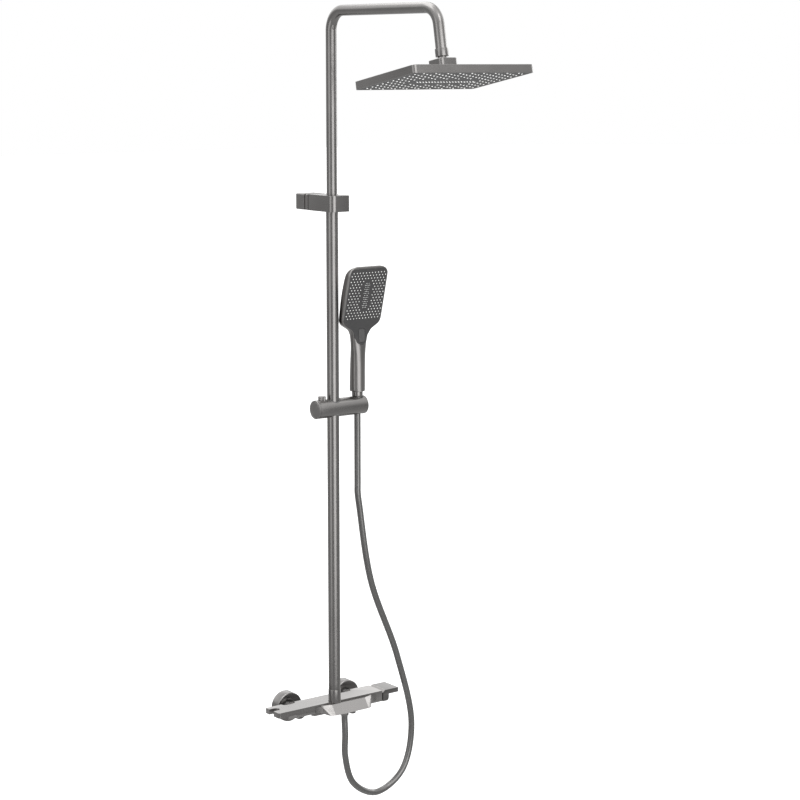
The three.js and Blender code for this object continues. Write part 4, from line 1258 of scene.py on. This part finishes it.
# %% Hand shower sizes
FOOT = HOLDER_Z + 30
HEIGHT = 264
HALF_WIDTHS = [  # height above the foot, half width
    (0, 15.3), (2, 16.2), (71, 16.2), (95, 17.2), (112, 19.5), (122, 22), (130, 27), (136, 36),
    (141, 44), (147, 48.5), (155, 50), (246, 50), (255, 47.5), (261, 42), (264, 34),
]
BACKS = [  # height, how far the back is out from the socket line
    (0, -16), (59, -13), (99, -7.5), (134, -2), (171, 4), (207, 11.5), (239, 22), (264, 35),
]
FRONTS = [(0, 16), (120, 16), (148, 17), (264, 46.8)]  # height, how far the front is out
SQUARENESS = [(0, 2.0), (80, 2.1), (118, 2.6), (136, 4.2), (152, 6), (264, 6)]  # 2 is a circle
print("hand shower is", HEIGHT, "mm tall")

# %% [markdown]
# Between the rows of a table the back and the width follow a smooth curve. The front is
# read on straight lines, because the spray face is flat.

# %% Reading the tables


def reading(table, at):
    """The value at a height: a smooth curve through a table of [height, value] rows."""
    if at <= table[0][0]:
        return table[0][1]
    for i, ((a, va), (b, vb)) in enumerate(zip(table, table[1:])):
        if at <= b:
            before = table[max(i - 1, 0)]
            after = table[min(i + 2, len(table) - 1)]
            slope_a = (vb - before[1]) / (b - before[0])
            slope_b = (after[1] - va) / (after[0] - a)
            t, span = (at - a) / (b - a), b - a
            return (va * (2 * t**3 - 3 * t**2 + 1) + vb * (3 * t**2 - 2 * t**3)
                    + span * (slope_a * (t**3 - 2 * t**2 + t) + slope_b * (t**3 - t**2)))
    return table[-1][1]


def straight_reading(table, at):
    """The value at a height on straight lines between the rows."""
    for (a, va), (b, vb) in zip(table, table[1:]):
        if at <= b:
            return va + (vb - va) * max(0, at - a) / (b - a)
    return table[-1][1]


print("paddle is", 2 * reading(HALF_WIDTHS, 200), "mm wide")

# %% [markdown]
# Each level ring is a superellipse: the higher its power, the squarer it is. The front half
# is squarer than the back. The top is rounded by drawing the last rings in.

# %% Hand shower skin
TOP_ROUND = 18
FRONT_SQUARER, PADDLE_FROM = 1.5, 120


def section(up, inset=0.0, points=96):
    """One level ring round the hand shower at a height above its foot."""
    wide = max(reading(HALF_WIDTHS, up) - inset, 0.5)
    back, front = reading(BACKS, up) + inset, straight_reading(FRONTS, up) - inset
    middle, deep = (front + back) / 2, max((front - back) / 2, 0.5)
    power = reading(SQUARENESS, up)
    ring = []
    for i in range(points):
        turn = 2 * math.pi * i / points
        c, s = math.cos(turn), math.sin(turn)
        near = power * (FRONT_SQUARER if s > 0 and up > PADDLE_FROM else 1)
        u = math.copysign(abs(c) ** (2 / near), c) * wide
        v = math.copysign(abs(s) ** (2 / near), s) * deep + middle
        ring.append(Vector((SOCKET_X + u, RISER[1] - v, FOOT + up)) / 1000)
    return ring


levels = [0, 1, 2.5] + [4 * i for i in range(1, 26)]
levels += [100 + 2 * i for i in range(1, (HEIGHT - TOP_ROUND - 100) // 2 + 1)]
rings = [section(0, 1.2)] + [section(up) for up in levels]
for step in range(1, 10):
    turn = math.radians(10 * step)
    up = HEIGHT - TOP_ROUND + TOP_ROUND * math.sin(turn) * 0.999
    rings.append(section(up, 4 * (1 - math.cos(turn))))
hand_shower = loft("hand_shower_body", rings)
print("hand shower rings:", len(rings))

# %% [markdown]
# The spray face is a thin dark skin let into the front. It fills the flat of the paddle,
# narrows with it through the throat and ends in a round tongue on the handle. It is made as
# a grid laid on the front surface: one layer just proud, one sunk inside, joined at the rim.

# %% Spray face outline
SKIN_HALF, SKIN_CORNER, TONGUE_HALF = 46.5, 9, 13
SKIN_LOW, SKIN_HIGH = 98, 259
RIM = 3.2


def front_at(across, up, proud=0.0):
    """The place on the front of the hand shower, so far right of its middle and up its height."""
    wide = max(reading(HALF_WIDTHS, up), 0.5)
    back, front = reading(BACKS, up), straight_reading(FRONTS, up)
    near = reading(SQUARENESS, up) * (FRONT_SQUARER if up > PADDLE_FROM else 1)
    share = min(abs(across) / wide, 1)
    out = (front + back) / 2 + (front - back) / 2 * (1 - share ** near) ** (1 / near)
    return Vector((SOCKET_X + across, RISER[1] - out - proud, FOOT + up)) / 1000


def skin_half(up):
    """Half the width of the dark skin at a height: the body's own, less its rim."""
    half = min(SKIN_HALF, reading(HALF_WIDTHS, up) - RIM)
    low, high = up - SKIN_LOW, SKIN_HIGH - up
    if low < TONGUE_HALF:
        half = min(half, math.sqrt(max(0, TONGUE_HALF**2 - (TONGUE_HALF - low) ** 2)))
    if high < SKIN_CORNER:
        corner = SKIN_CORNER - math.sqrt(max(0, SKIN_CORNER**2 - (SKIN_CORNER - high) ** 2))
        half = min(half, SKIN_HALF - corner)
    return max(half, 1.5)


def skin_rows():
    """Heights for the rows of the skin, closer together at its round ends."""
    ends = [SKIN_LOW + TONGUE_HALF * (1 - math.cos(math.radians(9 * i))) for i in range(1, 10)]
    middle = [SKIN_LOW + TONGUE_HALF + 2.5 * i for i in range(1, 54)]
    top = [SKIN_HIGH - SKIN_CORNER * (1 - math.sin(math.radians(10 * i))) for i in range(10)]
    return [SKIN_LOW, *ends, *[up for up in middle if up < top[0] - 1], *top]


print("spray face rows:", len(skin_rows()))

# %% [markdown]
# The two layers are grids of quads, and a strip round the rim joins them into a closed skin.

# %% Spray face
SKIN_ACROSS = 32
SKIN_PROUD, SKIN_SUNK = 0.45, -1.2
skin_points, skin_faces = [], []
for proud in (SKIN_PROUD, SKIN_SUNK):
    for up in skin_rows():
        for i in range(SKIN_ACROSS + 1):
            skin_points.append(front_at(skin_half(up) * (2 * i / SKIN_ACROSS - 1), up, proud))
row, rows = SKIN_ACROSS + 1, len(skin_rows())
for layer in (0, row * rows):
    for k in range(rows - 1):
        a = layer + k * row
        skin_faces += [(a + i, a + i + 1, a + row + i + 1, a + row + i) for i in range(SKIN_ACROSS)]
rim = list(range(row)) + [row * k + SKIN_ACROSS for k in range(1, rows)]
rim += [row * (rows - 1) + i for i in range(SKIN_ACROSS - 1, -1, -1)]
rim += [row * k for k in range(rows - 2, 0, -1)]
for a, b in zip(rim, rim[1:] + rim[:1]):
    skin_faces.append((a, b, row * rows + b, row * rows + a))
spray_skin = new_piece("hand_spray_face", skin_points, skin_faces, 40)
print("spray face points:", len(spray_skin.data.vertices))

# %% [markdown]
# The mode button sits in the tongue, in a pocket with a thin gap all round it. The pocket
# goes through the skin into the body, and so does the bore for the hose at the foot.

# %% Mode button and bores
BEHIND_SKIN = 11.2
CAP_SUNK, CAP_BACK = 1.2, 14.2
mode_low, mode_high = (corner * 1000 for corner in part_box("mode_button"))
button_middle = (SOCKET_X, (mode_low[2] + mode_high[2]) / 2)
pocket = round_rect(15.4, 28.6, 4.8, button_middle)
carve(spray_skin, slab("cutter", pocket, -160, RISER[1], "y"))
carve(
    hand_shower,
    slab("cutter", pocket, -160, RISER[1] - BEHIND_SKIN, "y"),
    cylinder(17, FOOT - 5, FOOT + 71, mm(SOCKET_X, RISER[1], 0)),
)
smooth(hand_shower, 40)
finish_piece(hand_shower, gunmetal_coated, "handset_shell")
finish_piece(spray_skin, face_dark, "handset_face_plate", "handset_tongue", slot="dark_plastic")
mode_front = front_at(0, button_middle[1] - FOOT).y * 1000 - CAP_SUNK
cap_outline = round_rect(14.4, 27.6, 4.4, button_middle)
mode_cap = slab("mode_button_cap", cap_outline, mode_front, RISER[1] - CAP_BACK, "y")
soften(mode_cap, 0.7, 3)
finish_piece(mode_cap, button_grey, "mode_button", slot="dark_plastic")
print("mode button middle is", round(button_middle[1] - FOOT), "mm above the foot")

# %% [markdown]
# The nozzles of the hand shower: large ones in staggered rows over the whole face, and an
# upright oval in the middle that is left clear for a bundle of fine ones.

# %% Hand shower nozzles
FACE_UP, FACE_LEAN = 203, math.radians(14.4)
CLEAR_OF_EDGE = 3
face_middle = front_at(0, FACE_UP, 0.2)
TO_FACE = Matrix.Translation(face_middle) @ Matrix.Rotation(FACE_LEAN - math.radians(90), 4, "X")
wide_sites, fine_sites = [], []
for j in range(-8, 9):
    for k in range(-7, 8):
        across, down = 7.7 * (k + (0.5 if j % 2 else 0)), 6.2 * j
        room = skin_half(FACE_UP - down * math.cos(FACE_LEAN)) - CLEAR_OF_EDGE
        in_oval = (across / 15) ** 2 + (down / 33) ** 2 < 1
        if abs(across) <= room and not in_oval:
            wide_sites.append((across, down, 0))
for j in range(-6, 7):
    for k in range(-2, 3):
        across, down = 3.6 * (k + (0.5 if j % 2 else 0)), 4.4 * j
        if abs(across) <= 6.5:
            fine_sites.append((across, down, 0))
wide_nozzles = studs("hand_nozzles", arc(0, 0, 1.1, 0, 330, 11), wide_sites, 1.0)
fine_nozzles = studs("hand_fine_nozzles", arc(0, 0, 0.65, 0, 315, 7), fine_sites, 0.8)
for piece, nodes in ((wide_nozzles, ["handset_nozzle_mat"]), (fine_nozzles, [])):
    piece.data.transform(TO_FACE)
    finish_piece(piece, nozzle_pale, *nodes, body="hand_shower", slot="nozzle_rubber")
print("hand shower nozzles:", len(wide_sites), "large,", len(fine_sites), "fine")

# %% [markdown]
# The hose ends in a cone nut that drops into the tapered hole of the holder.

# %% Cone nut
cone_nut = turned("cone_nut", [
    (7.3, -45), (7.7, -45, 0.2), (10.5, -13, 4), (11.4, -9, 2), (11.4, -0.9, 0.4), (7.3, -0.5),
], mm(SOCKET_X, RISER[1], FOOT), sides=96)
finish_piece(cone_nut, gunmetal_turned, "hose_cone_nut")
print("cone nut points:", len(cone_nut.data.vertices))

# %% [markdown]
# What is left of the CAD model stays as it is and gets its own finish: the inner tube end,
# seals, bushes, washers, screws and the parts inside the valve.

# %% CAD pieces kept
BY_SLOT = {
    "gunmetal": gunmetal_turned, "gunmetal_plastic": gunmetal_coated, "dark_plastic": recess_dark,
    "nozzle_rubber": nozzle_pale, "seal_rubber": seal_black, "bearing_plastic": bearing_grey,
    "plain_brass": bare_brass, "plain_steel": bare_steel, "hose_skin": hose_skin,
}
slot_of = {part["node"]: part["material_slot"] for part in frame["record"]["subparts"]}
for name, node in frame["nodes"].items():
    node.data.materials.clear()
    node.data.materials.append(BY_SLOT[slot_of[name]])
for name in ("left_inlet_union", "right_inlet_union"):
    frame["nodes"][name].data.materials[0] = bare_steel
frame["nodes"]["overhead_arm"].data.materials[0] = gunmetal_upright
print("CAD nodes with a finish:", len(frame["nodes"]))

# %% [markdown]
# Last, the bounds of everything shown are printed.

# %% Sizes and finish
visual_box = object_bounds()
for axis, low, high in zip("XYZ", *visual_box):
    print(axis, "from", round(low, 4), "to", round(high, 4), "m")
